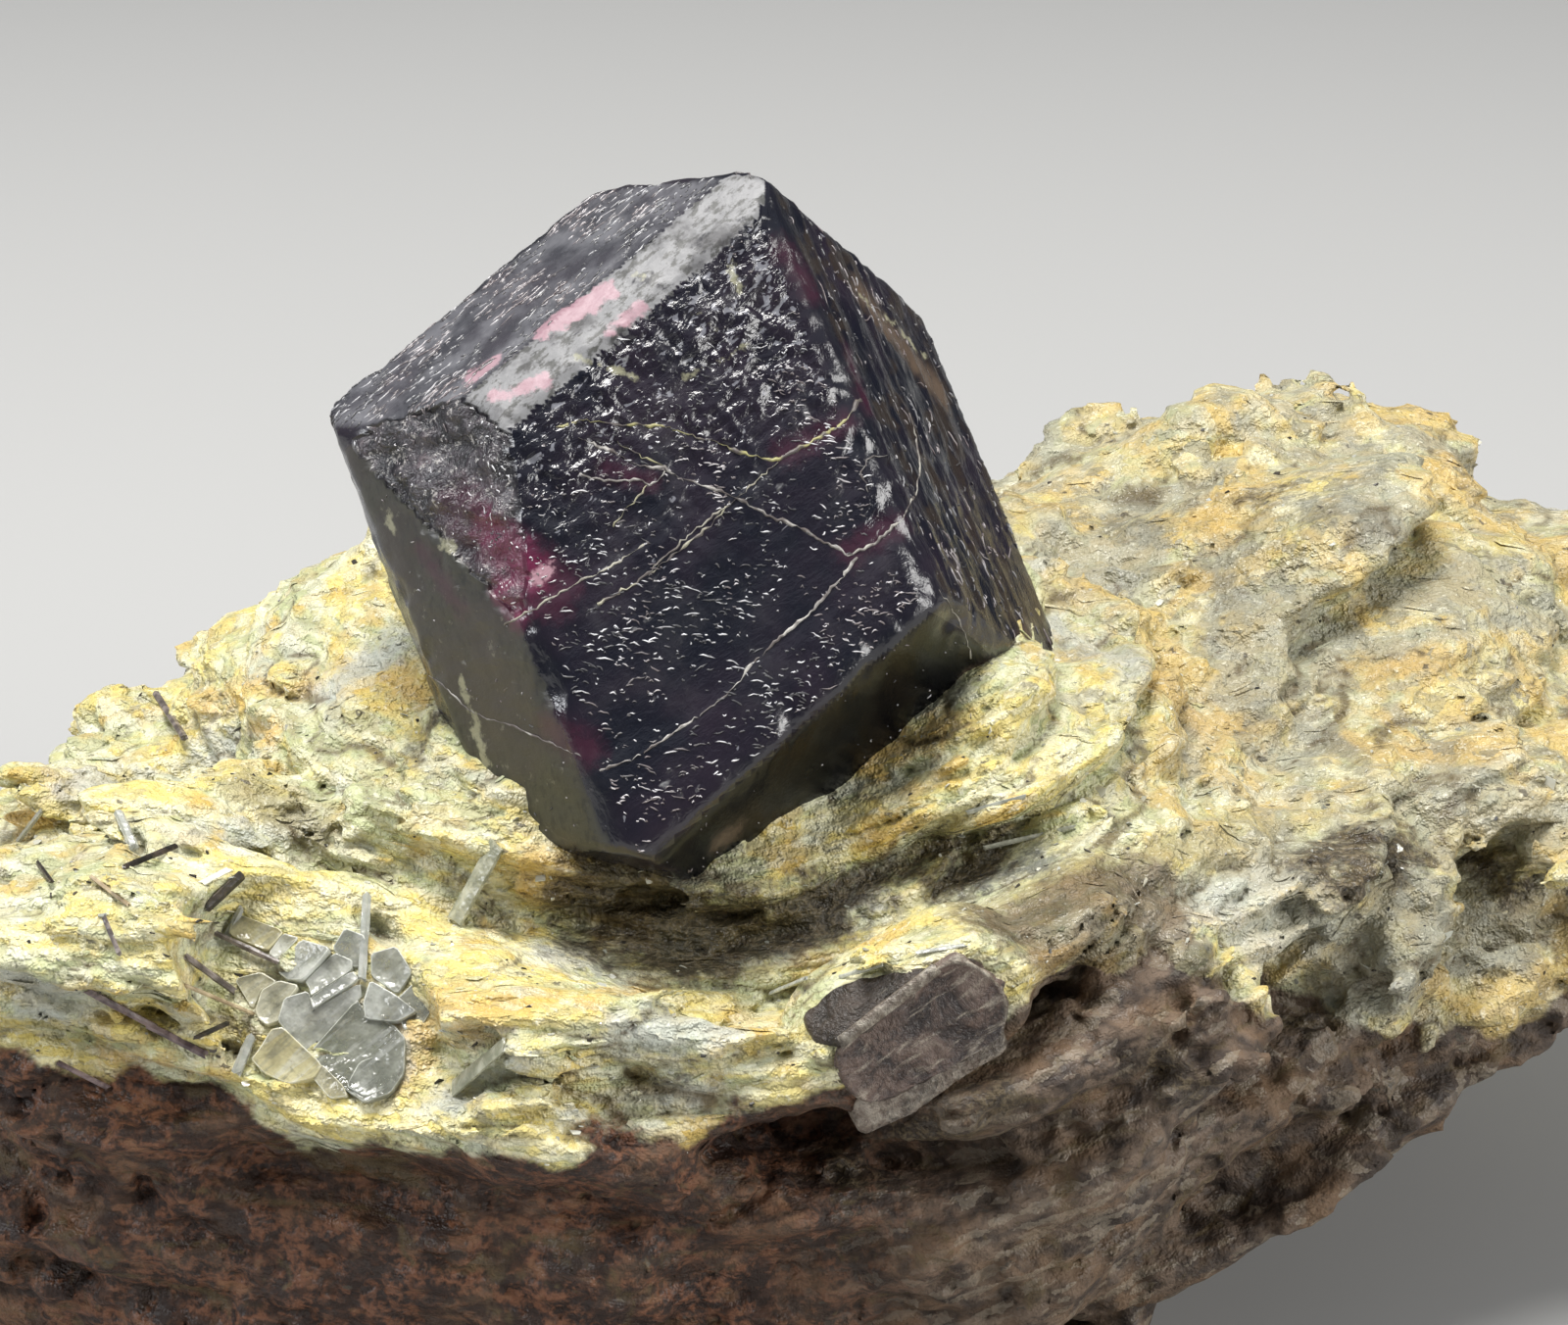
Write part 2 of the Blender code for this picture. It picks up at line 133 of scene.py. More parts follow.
# Growth steps on the front face: points along each riser and its height
STEP_EDGES = (
    (((-9.0, 1.6), (-3.5, 1.0), (0.4, 0.46), (4.6, -0.42), (7.1, -0.86), (12.0, -1.6)), 0.05),
    (((-9.0, 1.4), (-4.5, 1.86), (-3.8, 3.34), (-2.9, 3.98), (-0.7, 4.48), (2.3, 4.31),
      (5.3, 4.13), (7.9, 3.4), (12.0, 2.6)), 0.05),
)

# Rock: outline in plan, heights of its upper surface, sides and layers
OUTLINE = (
    (-29.5, -2.0), (-26.5, -7.5), (-20.5, -10.2), (-15.5, -11.6), (-10.0, -12.8),
    (-5.0, -13.6), (1.0, -13.6), (6.5, -12.0), (11.0, -8.8), (15.0, -5.8),
    (20.0, -2.6), (25.0, 1.2), (29.5, 7.5), (30.5, 13.0), (27.5, 19.5),
    (22.5, 24.0), (15.5, 25.4), (7.5, 22.6), (-1.0, 19.6), (-10.0, 16.2),
    (-19.0, 12.0), (-26.5, 6.0),
)
HEIGHTS = np.array((
    (-28.0, -2.0, 11.6), (-23.0, 7.5, 12.0), (-22.1, 0.0, 14.6), (-19.5, 1.0, 15.5),
    (-16.7, 2.0, 16.4), (-13.7, 3.0, 19.8), (-11.5, 5.5, 22.0), (-21.5, -4.5, 14.5),
    (-20.5, -9.0, 13.2), (-15.5, -9.0, 14.0), (-13.0, -3.5, 17.0), (-9.7, -4.7, 19.3),
    (-6.3, -8.3, 17.5), (-1.0, -7.9, 17.3), (-10.0, -10.5, 14.4), (-3.5, -10.4, 14.6),
    (0.6, -8.6, 15.2), (-5.4, -12.5, 15.4), (-1.5, -12.6, 15.6), (2.0, -12.0, 16.4),
    (4.6, -10.8, 16.3), (2.6, -4.9, 18.6), (5.0, -5.6, 18.9), (7.0, -7.0, 17.4),
    (7.4, -9.0, 16.0), (5.6, -3.0, 20.3), (7.6, 2.8, 19.8), (11.5, 0.0, 18.1),
    (15.5, 1.0, 16.7), (19.0, -1.2, 14.0), (25.0, 4.0, 14.0), (13.2, 7.0, 18.9),
    (18.6, 10.0, 19.4), (24.0, 12.0, 17.2), (29.0, 13.0, 14.8), (17.4, 19.5, 21.7),
    (21.5, 17.5, 19.6), (11.0, 15.0, 19.2), (6.3, 12.0, 19.8), (-3.0, 13.5, 18.6),
    (-13.0, 12.0, 16.4),
))
HEIGHT_SOFTNESS = 1.5
UNDERCUT = 4.2
UNDERCUT_TOP = 11.5
UNDERCUT_CURVE = 1.5
UNDERCUT_LIMIT = 1.2
UNDERSIDE_DEPTH = 2.0
UNDERSIDE_RISE_FROM = 4.5
UNDERSIDE_SLOPE = 0.64
UNDERSIDE_BEND = 1.5
EDGE_ROUNDING = 2.6
LUMP_ROUNDING = 1.0
HOLLOW_ROUNDING = 0.8
BOWL_CENTRE = (-2.0, -2.0)
BOWL_DEPTH = 5.0
BOWL_RADIUS = 9.5
LAYER_RISE = 0.26
LAYER_RISE_FROM = 4.0
LAYER_RISE_BEND = 3.0
# Noises, each with its size along and across the layers, height and seed: the
# coarse relief that the solids have too, the ragged edge of the lower part that
# gets dark painted shade, waves of the layers and shifts along them, knobs at
# the right, lumps of that lower part, and the grain of the beds that the mica
# stacks lie in
COARSE_RELIEF = ((9.0, 5.0, 1.3, 11), (6.0, 1.9, 1.25, 23), (3.2, 1.1, 0.55, 37))
RAGGED_EDGE = ((2.6, 1.6, 0.9, 61), (0.7, 0.6, 0.35, 62))
LAYER_WAVES = ((2.2, 1.6, 0.4, 41), (0.6, 0.5, 0.12, 39))
LAYER_SHIFTS = ((1.1, 0.8, 0.6, 40), (0.35, 0.25, 0.2, 38))
KNOBS = ((1.0, 0.8, 1.0, 55), (0.5, 0.42, 0.7, 56))
SOIL_LUMPS = ((1.4, 1.1, 0.34, 46), (0.6, 0.5, 0.24, 47))
BED_GRAIN = ((0.8, 0.6, 0.22, 57), (0.35, 0.3, 0.1, 58))
# Lumps and hollows that the solids have too: centre and half size
LUMPS = (
    ((5.2, -5.9, 17.7), (2.4, 1.6, 1.3)),
    ((7.6, -8.7, 14.8), (2.6, 1.9, 1.5)),
    ((-10.6, -6.4, 17.0), (1.5, 1.2, 1.2)),
    ((-6.9, -10.0, 15.2), (1.6, 1.3, 1.1)),
    ((12.0, -1.6, 16.6), (2.2, 1.6, 1.6)),
    ((20.0, 3.0, 14.0), (3.4, 3.0, 2.6)),
)
HOLLOWS = (
    ((-0.8, -10.9, 15.2), (4.4, 1.5, 1.1)),
    ((4.0, -9.3, 16.9), (2.0, 1.3, 0.8)),
    ((4.0, -13.0, 9.9), (2.2, 1.8, 0.9)),
    ((-15.0, -4.6, 16.9), (3.0, 1.2, 0.9)),
    ((15.0, -5.4, 12.0), (2.4, 1.1, 1.0)),
)
# Hollows round the crystals that only the finished shape has
CRYSTAL_HOLLOWS = (
    ((-19.2, 8.5, 17.0), (3.8, 7.5, 2.9)),
    ((10.6, 20.8, 22.4), (4.2, 6.0, 2.4)),
    ((24.0, 14.5, 21.4), (5.0, 6.5, 2.2)),
    ((1.7, -12.9, 15.0), (1.6, 1.0, 0.8)),
    ((3.6, -13.2, 11.3), (2.4, 1.2, 0.8)),
    ((0.2, -10.6, 15.6), (3.6, 1.3, 1.0)),
    ((3.6, -9.0, 17.2), (1.7, 1.0, 0.9)),
    ((0.9, -8.3, 18.3), (1.9, 1.1, 0.9)),
)
# Lumps that only the finished shape has
CRYSTAL_LUMPS = (
    ((-16.3, -9.7, 12.9), (2.6, 1.8, 1.4)),
    ((-19.6, -8.9, 12.6), (2.4, 1.8, 1.2)),
    ((-17.8, -9.8, 14.7), (4.2, 2.3, 1.2)),
    ((-13.2, -4.3, 16.0), (1.9, 1.6, 1.1)),
    ((-10.9, -7.0, 16.2), (1.8, 1.5, 1.1)),
    ((9.7, 21.4, 18.9), (1.5, 1.6, 1.1)),
)
# What is trimmed off and filled in after the coarse relief
TRIMS = (
    ((-19.0, 8.5, 18.8), (2.7, 9.0, 3.1)),
)
FILLS = (
    ((-19.4, 3.4, 13.9), (2.8, 5.5, 1.8)),
    ((-12.5, -5.2, 16.3), (1.3, 1.1, 0.9)),
    ((-15.0, -10.7, 13.7), (1.2, 1.2, 0.9)),
)
# Height along the front, by X, of the edge of the lower part, whose dark
# reddish colour is painted shade
LOWER_SHADE_EDGE = (
    (-30.0, 12.6), (-20.0, 12.9), (-16.5, 12.7), (-14.2, 12.0), (-12.4, 10.8), (-8.7, 10.9),
    (-5.0, 11.8), (0.0, 12.4), (3.0, 13.4), (5.5, 15.2), (7.6, 15.1), (9.1, 14.6),
    (11.6, 13.8), (14.3, 12.5), (17.8, 10.2), (20.0, 10.6), (23.0, 11.6), (32.0, 11.6),
)
# How far from the surface the grid's points get the coarse relief, a bed of
# a mica stack and the fine relief
RELIEF_REACH = 3.3
BED_REACH = 4.3
FINE_REACH = 1.3

# Cell sizes of the grid that the rock is drawn on: place and size at it
GRID_X = ((-32.0, 0.5), (-26.0, 0.25), (-23.0, 0.138), (9.5, 0.138), (14.0, 0.2), (24.0, 0.33), (33.0, 0.5))
GRID_Y = ((-16.0, 0.14), (-3.0, 0.14), (3.0, 0.24), (12.0, 0.45), (28.0, 0.6))
GRID_Z = ((-0.55, 0.7), (6.0, 0.36), (9.5, 0.14), (19.0, 0.14), (25.0, 0.26))
# The rock's surface is four meshes: below a height, behind a place in Y above
# it, and left or right of a place in X
LOW_PART_TOP = 8.6
BACK_PART_START = 1.0
RIGHT_PART_START = -4.0


# Meshes

def make_piece(name, points, faces, materials, replaces=(), smooth=True):
    """A mesh piece from points in millimetres and arrays of faces."""
    mesh = bpy.data.meshes.new(name)
    groups = [np.asarray(group) for group in faces if len(group)]
    corners = np.concatenate([group.ravel() for group in groups])
    sizes = np.concatenate([np.full(len(group), group.shape[1]) for group in groups])
    starts = np.concatenate([[0], np.cumsum(sizes)[:-1]])
    mesh.vertices.add(len(points))
    mesh.vertices.foreach_set("co", (np.asarray(points) * MM).astype(np.float32).ravel())
    mesh.loops.add(len(corners))
    mesh.loops.foreach_set("vertex_index", corners.astype(np.int32))
    mesh.polygons.add(len(sizes))
    mesh.polygons.foreach_set("loop_start", starts.astype(np.int32))
    mesh.polygons.foreach_set("use_smooth", np.full(len(sizes), smooth))
    mesh.update(calc_edges=True)
    mesh.validate()
    for material in materials:
        mesh.materials.append(material)
    piece = bpy.data.objects.new(name, mesh)
    bpy.context.scene.collection.objects.link(piece)
    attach(piece, "root")
    if replaces:
        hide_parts(*replaces)
    return piece


def set_values(piece, **values):
    """Store numbers for the points of a piece, which its material reads."""
    for name, numbers in values.items():
        attribute = piece.data.attributes.new(name, "FLOAT", "POINT")
        attribute.data.foreach_set("value", np.asarray(numbers, dtype=np.float32))


# Shape helpers

def smooth_max(first, second, radius):
    blend = np.maximum(radius - np.abs(first - second), 0.0) / radius
    return np.maximum(first, second) + blend * blend * radius / 4.0


def smooth_min(first, second, radius):
    return -smooth_max(-first, -second, radius)


def smooth_step(value, low, high):
    share = np.clip((value - low) / (high - low), 0.0, 1.0)
    return share * share * (3.0 - 2.0 * share)


def softplus(value, width):
    return width * np.logaddexp(0.0, value / width)


def corner_value(i, j, k, seed):
    """A repeatable number from -1 to 1 for each corner of a lattice."""
    mixed = (i * 73856093) ^ (j * 19349663) ^ (k * 83492791) ^ (seed * 2654435761)
    mixed = (mixed ^ (mixed >> 13)) * 1274126177 & 0xFFFFFFFF
    mixed = (mixed ^ (mixed >> 16)) & 0xFFFFFF
    return mixed / 8388607.5 - 1.0


def noise(x, y, z, seed):
    """Smooth noise: lattice numbers blended between whole coordinates."""
    x, y, z = np.broadcast_arrays(x, y, z)
    base = [np.floor(value).astype(np.int64) for value in (x, y, z)]
    part = [value - low for value, low in zip((x, y, z), base)]
    blend = [t * t * t * (t * (t * 6.0 - 15.0) + 10.0) for t in part]
    total = np.zeros(x.shape)
    for di, dj, dk in product((0, 1), repeat=3):
        weight = (blend[0] if di else 1.0 - blend[0])
        weight = weight * (blend[1] if dj else 1.0 - blend[1])
        weight = weight * (blend[2] if dk else 1.0 - blend[2])
        total += weight * corner_value(base[0] + di, base[1] + dj, base[2] + dk, seed)
    return total


def add_noises(total, place, rows):
    """Add noises: size along the layers and across them, height and seed of each."""
    x, y, z = place
    for along, across, height, seed in rows:
        total = total + height * noise(x / along, y / along, z / across, seed)
    return total


def sharpened(value, power):
    """Widen the flat parts of a noise and steepen what lies between them."""
    return np.sign(value) * np.abs(value) ** power


def normalised(vectors):
    return vectors / np.linalg.norm(vectors, axis=-1, keepdims=True)


def turned(angles):
    """Matrix that turns directions by angles in degrees."""
    return np.array(Euler([math.radians(angle) for angle in angles]).to_matrix())


def segment_distance(points, start, end):
    """Distance of points from a straight line between two points."""
    run = end - start
    share = np.clip((points - start) @ run / max(float(run @ run), 1e-9), 0.0, 1.0)
    return np.linalg.norm(points - start - share[:, None] * run, axis=1)


# Camera, floor and light

VIEW_AXES = np.array((
    (1.0, 0.0, 0.0),
    (0.0, math.sin(VIEW_ELEVATION), math.cos(VIEW_ELEVATION)),
    (0.0, -math.cos(VIEW_ELEVATION), math.sin(VIEW_ELEVATION)),
))
VIEW_POINT = np.array((0.0, 0.0, VIEW_HEIGHT)) + VIEW_AXES[2] * VIEW_DISTANCE


def make_camera():
    camera = bpy.data.cameras.new("camera")
    camera.lens = LENS
    camera.sensor_width = SENSOR
    camera.clip_start = 0.005
    item = bpy.data.objects.new("camera", camera)
    item.location = VIEW_POINT * MM
    item.rotation_euler = (math.pi / 2.0 - VIEW_ELEVATION, 0.0, 0.0)
    bpy.context.scene.collection.objects.link(item)
    bpy.context.scene.camera = item


def view_ray(px, py):
    """Direction from the camera through a point of the picture."""
    focal = LENS / SENSOR * PHOTO_WIDTH
    across, up = (px - PHOTO_WIDTH / 2.0) / focal, (PHOTO_HEIGHT / 2.0 - py) / focal
    return normalised(VIEW_AXES[0] * across + VIEW_AXES[1] * up - VIEW_AXES[2])


def on_surface(tree, px, py):
    """Point and outward direction of the surface seen at a picture point."""
    place, normal, _, _ = tree.ray_cast(Vector(VIEW_POINT * MM), Vector(view_ray(px, py)))
    if place is None:
        return None, None
    return np.array(place) / MM, np.array(normal)


def mark_reach(tree, points, marks):
    """How far points are outside the nearest mark, a stroke between two picture points."""
    reach = np.full(len(points), FAR_FROM_MARKS)
    for *pixels, width in marks:
        ends = [on_surface(tree, *pixels[start:start + 2])[0] for start in (0, 2)]
        if ends[0] is not None and ends[1] is not None:
            reach = np.minimum(reach, segment_distance(points, *ends) - width)
    return reach


def add_light(name, place, target, size, power, colour):
    light = bpy.data.lights.new(name, "AREA")
    light.shape = "RECTANGLE"
    light.size, light.size_y = size
    light.energy = power
    light.color = colour
    item = bpy.data.objects.new(name, light)
    item.location = place
    item.rotation_euler = (Vector(target) - Vector(place)).to_track_quat("-Z", "Y").to_euler()
    bpy.context.scene.collection.objects.link(item)


def make_stage():
    """A pale floor that curves up into a backdrop on every side."""
    count = FLOOR_TURNS
    turns = np.linspace(0.0, 2.0 * math.pi, count + 1)[:-1]
    rings = [np.stack((np.cos(turns) * radius, np.sin(turns) * radius, np.full(count, height)), axis=1)
             for radius, height in zip(FLOOR_RADII, FLOOR_HEIGHTS)]
    points = np.concatenate([[(0.0, 0.0, 0.0)]] + rings)
    following = [(turn + 1) % count for turn in range(count)]
    faces = [(0, 1 + turn, 1 + after) for turn, after in enumerate(following)]
    for ring in range(len(rings) - 1):
        low, high = 1 + ring * count, 1 + (ring + 1) * count
        faces += [(low + turn, high + turn, high + after, low + after)
                  for turn, after in enumerate(following)]
    mesh = bpy.data.meshes.new("floor")
    mesh.from_pydata([tuple(point) for point in points], [], faces)
    mesh.polygons.foreach_set("use_smooth", [True] * len(mesh.polygons))
    floor = bpy.data.objects.new("floor", mesh)
    bpy.context.scene.collection.objects.link(floor)
    paint = bpy.data.materials.new("pale_floor")
    paint.use_nodes = True
    shader = paint.node_tree.nodes["Principled BSDF"]
    shader.inputs["Base Color"].default_value = (*FLOOR_COLOUR, 1.0)
    shader.inputs["Roughness"].default_value = 0.9
    shader.inputs["Specular IOR Level"].default_value = 0.1
    mesh.materials.append(paint)


def make_lights():
    for light in LIGHTS:
        add_light(*light)
    world = bpy.data.worlds.new("studio")
    world.use_nodes = True
    background = world.node_tree.nodes["Background"]
    background.inputs["Color"].default_value = (*SKY_COLOUR, 1.0)
    background.inputs["Strength"].default_value = SKY_STRENGTH
    bpy.context.scene.world = world
    bpy.context.scene.view_settings.view_transform = "Standard"


# Materials

class Wire:
    """What a node gives. Sums, products and ramps of it add nodes."""

    def __init__(self, look, socket):
        self.look, self.socket = look, socket

    def __add__(self, other):
        return self.look.math("ADD", self, other)

    def __sub__(self, other):
        return self.look.math("SUBTRACT", self, other)

    def __mul__(self, other):
        return self.look.math("MULTIPLY", self, other)

    def larger(self, other):
        return self.look.math("MAXIMUM", self, other)

    def ramp(self, low, high, first=0.0, last=1.0):
        """Smooth change from first to last while the number goes from low to high."""
        values = {"Value": self, "From Min": low, "From Max": high, "To Min": first, "To Max": last}
        return self.look.out("ShaderNodeMapRange", values, interpolation_type="SMOOTHSTEP")


class Look:
    """A material whose nodes are added one call at a time."""

    def __init__(self, name, **values):
        self.material = bpy.data.materials.new(name)
        self.material.use_nodes = True
        self.tree = self.material.node_tree
        self.shader = self.tree.nodes["Principled BSDF"]
        for socket, value in values.items():
            self.shader.inputs[socket.replace("_", " ")].default_value = value

    def node(self, kind, inputs, **settings):
        node = self.tree.nodes.new(kind)
        for setting, value in settings.items():
            setattr(node, setting, value)
        for socket, value in inputs.items():
            if isinstance(value, Wire):
                self.tree.links.new(value.socket, node.inputs[socket])
            else:
                node.inputs[socket].default_value = value
        return node

    def out(self, kind, inputs, output=0, **settings):
        return Wire(self, self.node(kind, inputs, **settings).outputs[output])

    def value(self, name):
        return self.out("ShaderNodeAttribute", {}, "Fac", attribute_name=name)

    def math(self, operation, first, second):
        return self.out("ShaderNodeMath", {0: first, 1: second}, operation=operation)

    def mix(self, share, first, second):
        colours = [(*colour, 1.0) if isinstance(colour, tuple) else colour for colour in (first, second)]
        return self.out("ShaderNodeMix", {0: share, 6: colours[0], 7: colours[1]}, 2, data_type="RGBA")

    def coats(self, colour, coats):
        """Lay colours over a colour, each with its share."""
        for share, tone in coats:
            colour = self.mix(share, colour, tone)
        return colour

    def place(self):
        """Place on the object in millimetres."""
        coordinates = self.out("ShaderNodeTexCoord", {}, "Object")
        return self.out("ShaderNodeVectorMath", {0: coordinates, 3: 1.0 / MM}, operation="SCALE")

    def split(self, vector):
        return [Wire(self, part) for part in self.node("ShaderNodeSeparateXYZ", {0: vector}).outputs]

    def join(self, x, y, z, factors):
        parts = [self.math("MULTIPLY", part, factor) for part, factor in zip((x, y, z), factors)]
        return self.out("ShaderNodeCombineXYZ", dict(enumerate(parts)))

    def noise(self, vector, scale, detail=2.0, roughness=0.5, distortion=0.0):
        values = {"Vector": vector, "Scale": scale, "Detail": detail,
                  "Roughness": roughness, "Distortion": distortion}
        return self.out("ShaderNodeTexNoise", values)

    def grain(self, parts, factors, detail, roughness, distortion=0.0):
        """Noise that is as fine along each part as its factor says."""
        return self.noise(self.join(*parts, factors), 1.0, detail, roughness, distortion)

    def crystals(self, vector):
        """Distance from the middle of a crystal grain and two numbers of its own."""
        outputs = self.node("ShaderNodeTexVoronoi", {"Vector": vector, "Scale": 1.0}).outputs
        tint = self.split(Wire(self, outputs["Color"]))
        return Wire(self, outputs["Distance"]), tint[0], tint[1]

    def bump(self, height, depth):
        """Relief whose full range is a depth in millimetres."""
        return self.out("ShaderNodeBump", {"Height": height, "Distance": depth * MM, "Strength": 1.0})

    def finished(self, **values):
        """The material, with what its shader's sockets get."""
        for socket, value in values.items():
            self.tree.links.new(value.socket, self.shader.inputs[socket.replace("_", " ")])
        return self.material


# Garnet

def crystal_faces():
    """Normal, run and distance of each face, and the names of the faces."""
    turn = turned(GARNET_TURN)
    rows = []
    for index, (distance, run) in RHOMBIC_FACES.items():
        rows.append((index, turn @ index, turn @ run, distance))
    for (first, second), depth in EDGE_DEPTHS.items():
        mean = (RHOMBIC_FACES[first][0] + RHOMBIC_FACES[second][0]) / 2.0
        distance = mean / math.cos(HALF_FACE_ANGLE) - depth
        edge = np.cross(first, second)
        if edge[0] < 0:
            edge = -edge
        rows.append(((first, second), turn @ np.add(first, second), turn @ edge, distance))
    normal, distance = LEFT_PLANE
    rows = [(row[0], np.array(normal), row[2], distance) if row[0] == LEFT else row for row in rows]
    normal, distance = WORN_PLANE
    rows.append((WORN, np.array(normal), np.cross(normal, (0.0, 0.0, 1.0)), distance))
    names = [row[0] for row in rows]
    normals = normalised(np.array([row[1] for row in rows]))
    runs = normalised(np.array([row[2] for row in rows]))
    return names, normals, runs, np.cross(normals, runs), np.array([row[3] for row in rows])


FACE_NAMES, FACE_NORMALS, FACE_RUN, FACE_RISE, FACE_DISTANCES = crystal_faces()
BEVEL = (UPPER_LEFT, FRONT)


def step_relief(s, t):
    """Growth steps: the front face lies lower above each riser."""
    lowered = np.zeros(s.shape)
    for edge, height in STEP_EDGES:
        along, level = np.array(edge).T
        line = np.interp(s, along, level) + 0.06 * noise(s / 0.5, 0.0, 0.0, 71)
        lowered -= height * smooth_step(line - t, -0.04, 0.08)
    return lowered


# Noises of the faces' own relief: sizes along and up the face, seed and height
COARSE, HILLS, FINE = (2.6, 2.2, 5), (0.9, 0.5, 6), (0.4, 0.22, 7)
FACE_RELIEFS = {
    UPPER_LEFT: ((*COARSE, 0.05), (2.5, 0.3, 8, 0.045), (*FINE, 0.02)),
    BEVEL: ((*COARSE, 0.03), (*HILLS, 0.018), (*FINE, 0.012)),
    WORN: ((1.3, 1.1, 14, 0.14), (0.5, 0.4, 15, 0.14), (*FINE, 0.07)),
    RIGHT: ((*COARSE, 0.06), (1.6, 0.35, 9, 0.06), (*FINE, 0.03)),
    LOWER_RIGHT: ((*COARSE, 0.02), (*HILLS, 0.01)),
    LOWER_LEFT: ((*COARSE, 0.04), (*HILLS, 0.02), (*FINE, 0.012)),
}
OTHER_RELIEF = ((*COARSE, 0.06), (*HILLS, 0.05), (*FINE, 0.03))


def face_relief(name, s, t):
    """Height of a face's surface above its plane."""
    if name == FRONT:
        rough = smooth_step(-t, -3.0, 4.5) + 0.6 * smooth_step(-s, 1.5, 4.5)
        crumple = 0.4 - np.abs(noise(s / 0.42, t / 0.3, 0.0, 10))
        patches = 0.4 + 0.9 * smooth_step(noise(s / 1.7, t / 1.1, 0.0, 11), -0.2, 0.5)
        total = step_relief(s, t)
        rows = ((*COARSE, 0.02), (*HILLS, 0.006 + 0.02 * rough), (*FINE, 0.004 + 0.022 * rough))
    else:
        total, rows = 0.0, FACE_RELIEFS.get(name, OTHER_RELIEF)
    for along, up, seed, height in rows:
        total = total + height * noise(s / along, t / up, 0.0, seed)
    if name == FRONT:
        total = total + (0.012 + 0.16 * rough * patches) * crumple
    return total


def face_reach(directions):
    """How squarely each face meets the directions, and how far out along them."""
    facing = directions @ FACE_NORMALS.T
    return facing, np.where(facing > LEAST_FACING, FACE_DISTANCES / np.maximum(facing, LEAST_FACING), FAR)


def garnet_surface(directions):
    """Distance of the surface from the centre, and the face met, along directions."""
    facing, reach = face_reach(directions)
    order = np.sort(reach, axis=1)
    nearest, second = order[:, 0], order[:, 1]
    face = np.argmin(reach, axis=1)
    wear = np.exp(-(second - nearest) / 0.3)
    wear[face == FACE_NAMES.index(BEVEL)] *= 0.3
    place = directions * nearest[:, None]
    chips = add_noises(0.0, place.T, EDGE_CHIPS)
    for number, name in enumerate(FACE_NAMES):
        near = np.flatnonzero(reach[:, number] < nearest + FACE_OVERLAP)
        points = directions[near] * reach[near, number][:, None]
        relief = face_relief(name, points @ FACE_RUN[number], points @ FACE_RISE[number])
        reach[near, number] += relief / facing[near, number]
    reach -= (EDGE_WEAR * wear * np.maximum(chips + 0.1, 0.0))[:, None]
    low = reach.min(axis=1)
    soft = low - EDGE_SOFTNESS * np.log(np.exp(-(reach - low[:, None]) / EDGE_SOFTNESS).sum(axis=1))
    return soft, face


def garnet_grid():
    """Directions from the centre and faces of a grid wrapped round it."""
    line = np.linspace(-1.0, 1.0, GARNET_GRID)
    u, v = np.meshgrid(line, line, indexing="ij")
    x, y = u * np.sqrt(1.0 - v * v / 2.0), v * np.sqrt(1.0 - u * u / 2.0)
    radius = np.minimum(np.hypot(x, y), 1.0)
    polar = math.pi * (0.58 * radius + 0.42 * radius ** 3)
    turn = np.arctan2(y, x)
    front = normalised(np.array((0.05, -0.6, 0.8)))
    side = normalised(np.cross(front, (0.0, 0.0, 1.0)))
    up = np.cross(side, front)
    directions = (np.cos(polar)[..., None] * front
                  + (np.sin(polar) * np.cos(turn))[..., None] * side
                  + (np.sin(polar) * np.sin(turn))[..., None] * up).reshape(-1, 3)
    index = np.arange(GARNET_GRID ** 2).reshape(GARNET_GRID, GARNET_GRID)
    rim = np.ones(index.shape, dtype=bool)
    rim[1:-1, 1:-1] = False
    merged = index.copy()
    merged[rim] = 0
    quads = np.stack((merged[:-1, :-1], merged[1:, :-1], merged[1:, 1:], merged[:-1, 1:]), axis=-1)
    quads = quads.reshape(-1, 4)
    at_pole = (quads == 0).sum(axis=1)
    triangles = []
    for quad in quads[at_pole == 2]:
        kept = [corner for place, corner in enumerate(quad) if corner or quad[place - 1]]
        triangles.append(kept[:3])
    return directions, quads[at_pole == 0], np.array(triangles)


# Marks on the garnet by kind: picture points of both ends and half width in mm
GARNET_MARKS = {
    "pink": (
        (556, 334, 618, 298, 0.36), (622, 337, 652, 316, 0.17), (480, 384, 506, 368, 0.24),
        (508, 405, 556, 388, 0.2), (548, 590, 562, 580, 0.15),
    ),
    "ruby": (
        (618, 480, 664, 490, 0.2), (800, 462, 862, 430, 0.28), (868, 562, 915, 535, 0.3),
        (560, 742, 600, 765, 0.4), (470, 520, 560, 600, 0.8), (866, 360, 885, 410, 0.35),
        (800, 255, 830, 300, 0.3), (430, 560, 470, 620, 0.25),
    ),
    "magenta": (
        (500, 540, 540, 585, 0.5), (510, 600, 530, 625, 0.3),
    ),
    "yellow": (
        (470, 692, 484, 735, 0.1), (484, 735, 494, 778, 0.15), (745, 268, 753, 300, 0.07),
        (645, 280, 728, 335, 0.03), (588, 362, 655, 388, 0.03), (700, 385, 760, 352, 0.02),
        (452, 552, 462, 560, 0.12), (392, 520, 400, 536, 0.12), (876, 300, 905, 330, 0.04),
        (905, 325, 945, 365, 0.06),
    ),
    "crust": (
        (575, 893, 700, 905, 0.45), (700, 905, 800, 872, 0.5), (800, 872, 905, 795, 0.35),
        (735, 858, 748, 850, 0.25), (990, 690, 1050, 650, 0.3), (880, 300, 960, 400, 0.5),
    ),
}
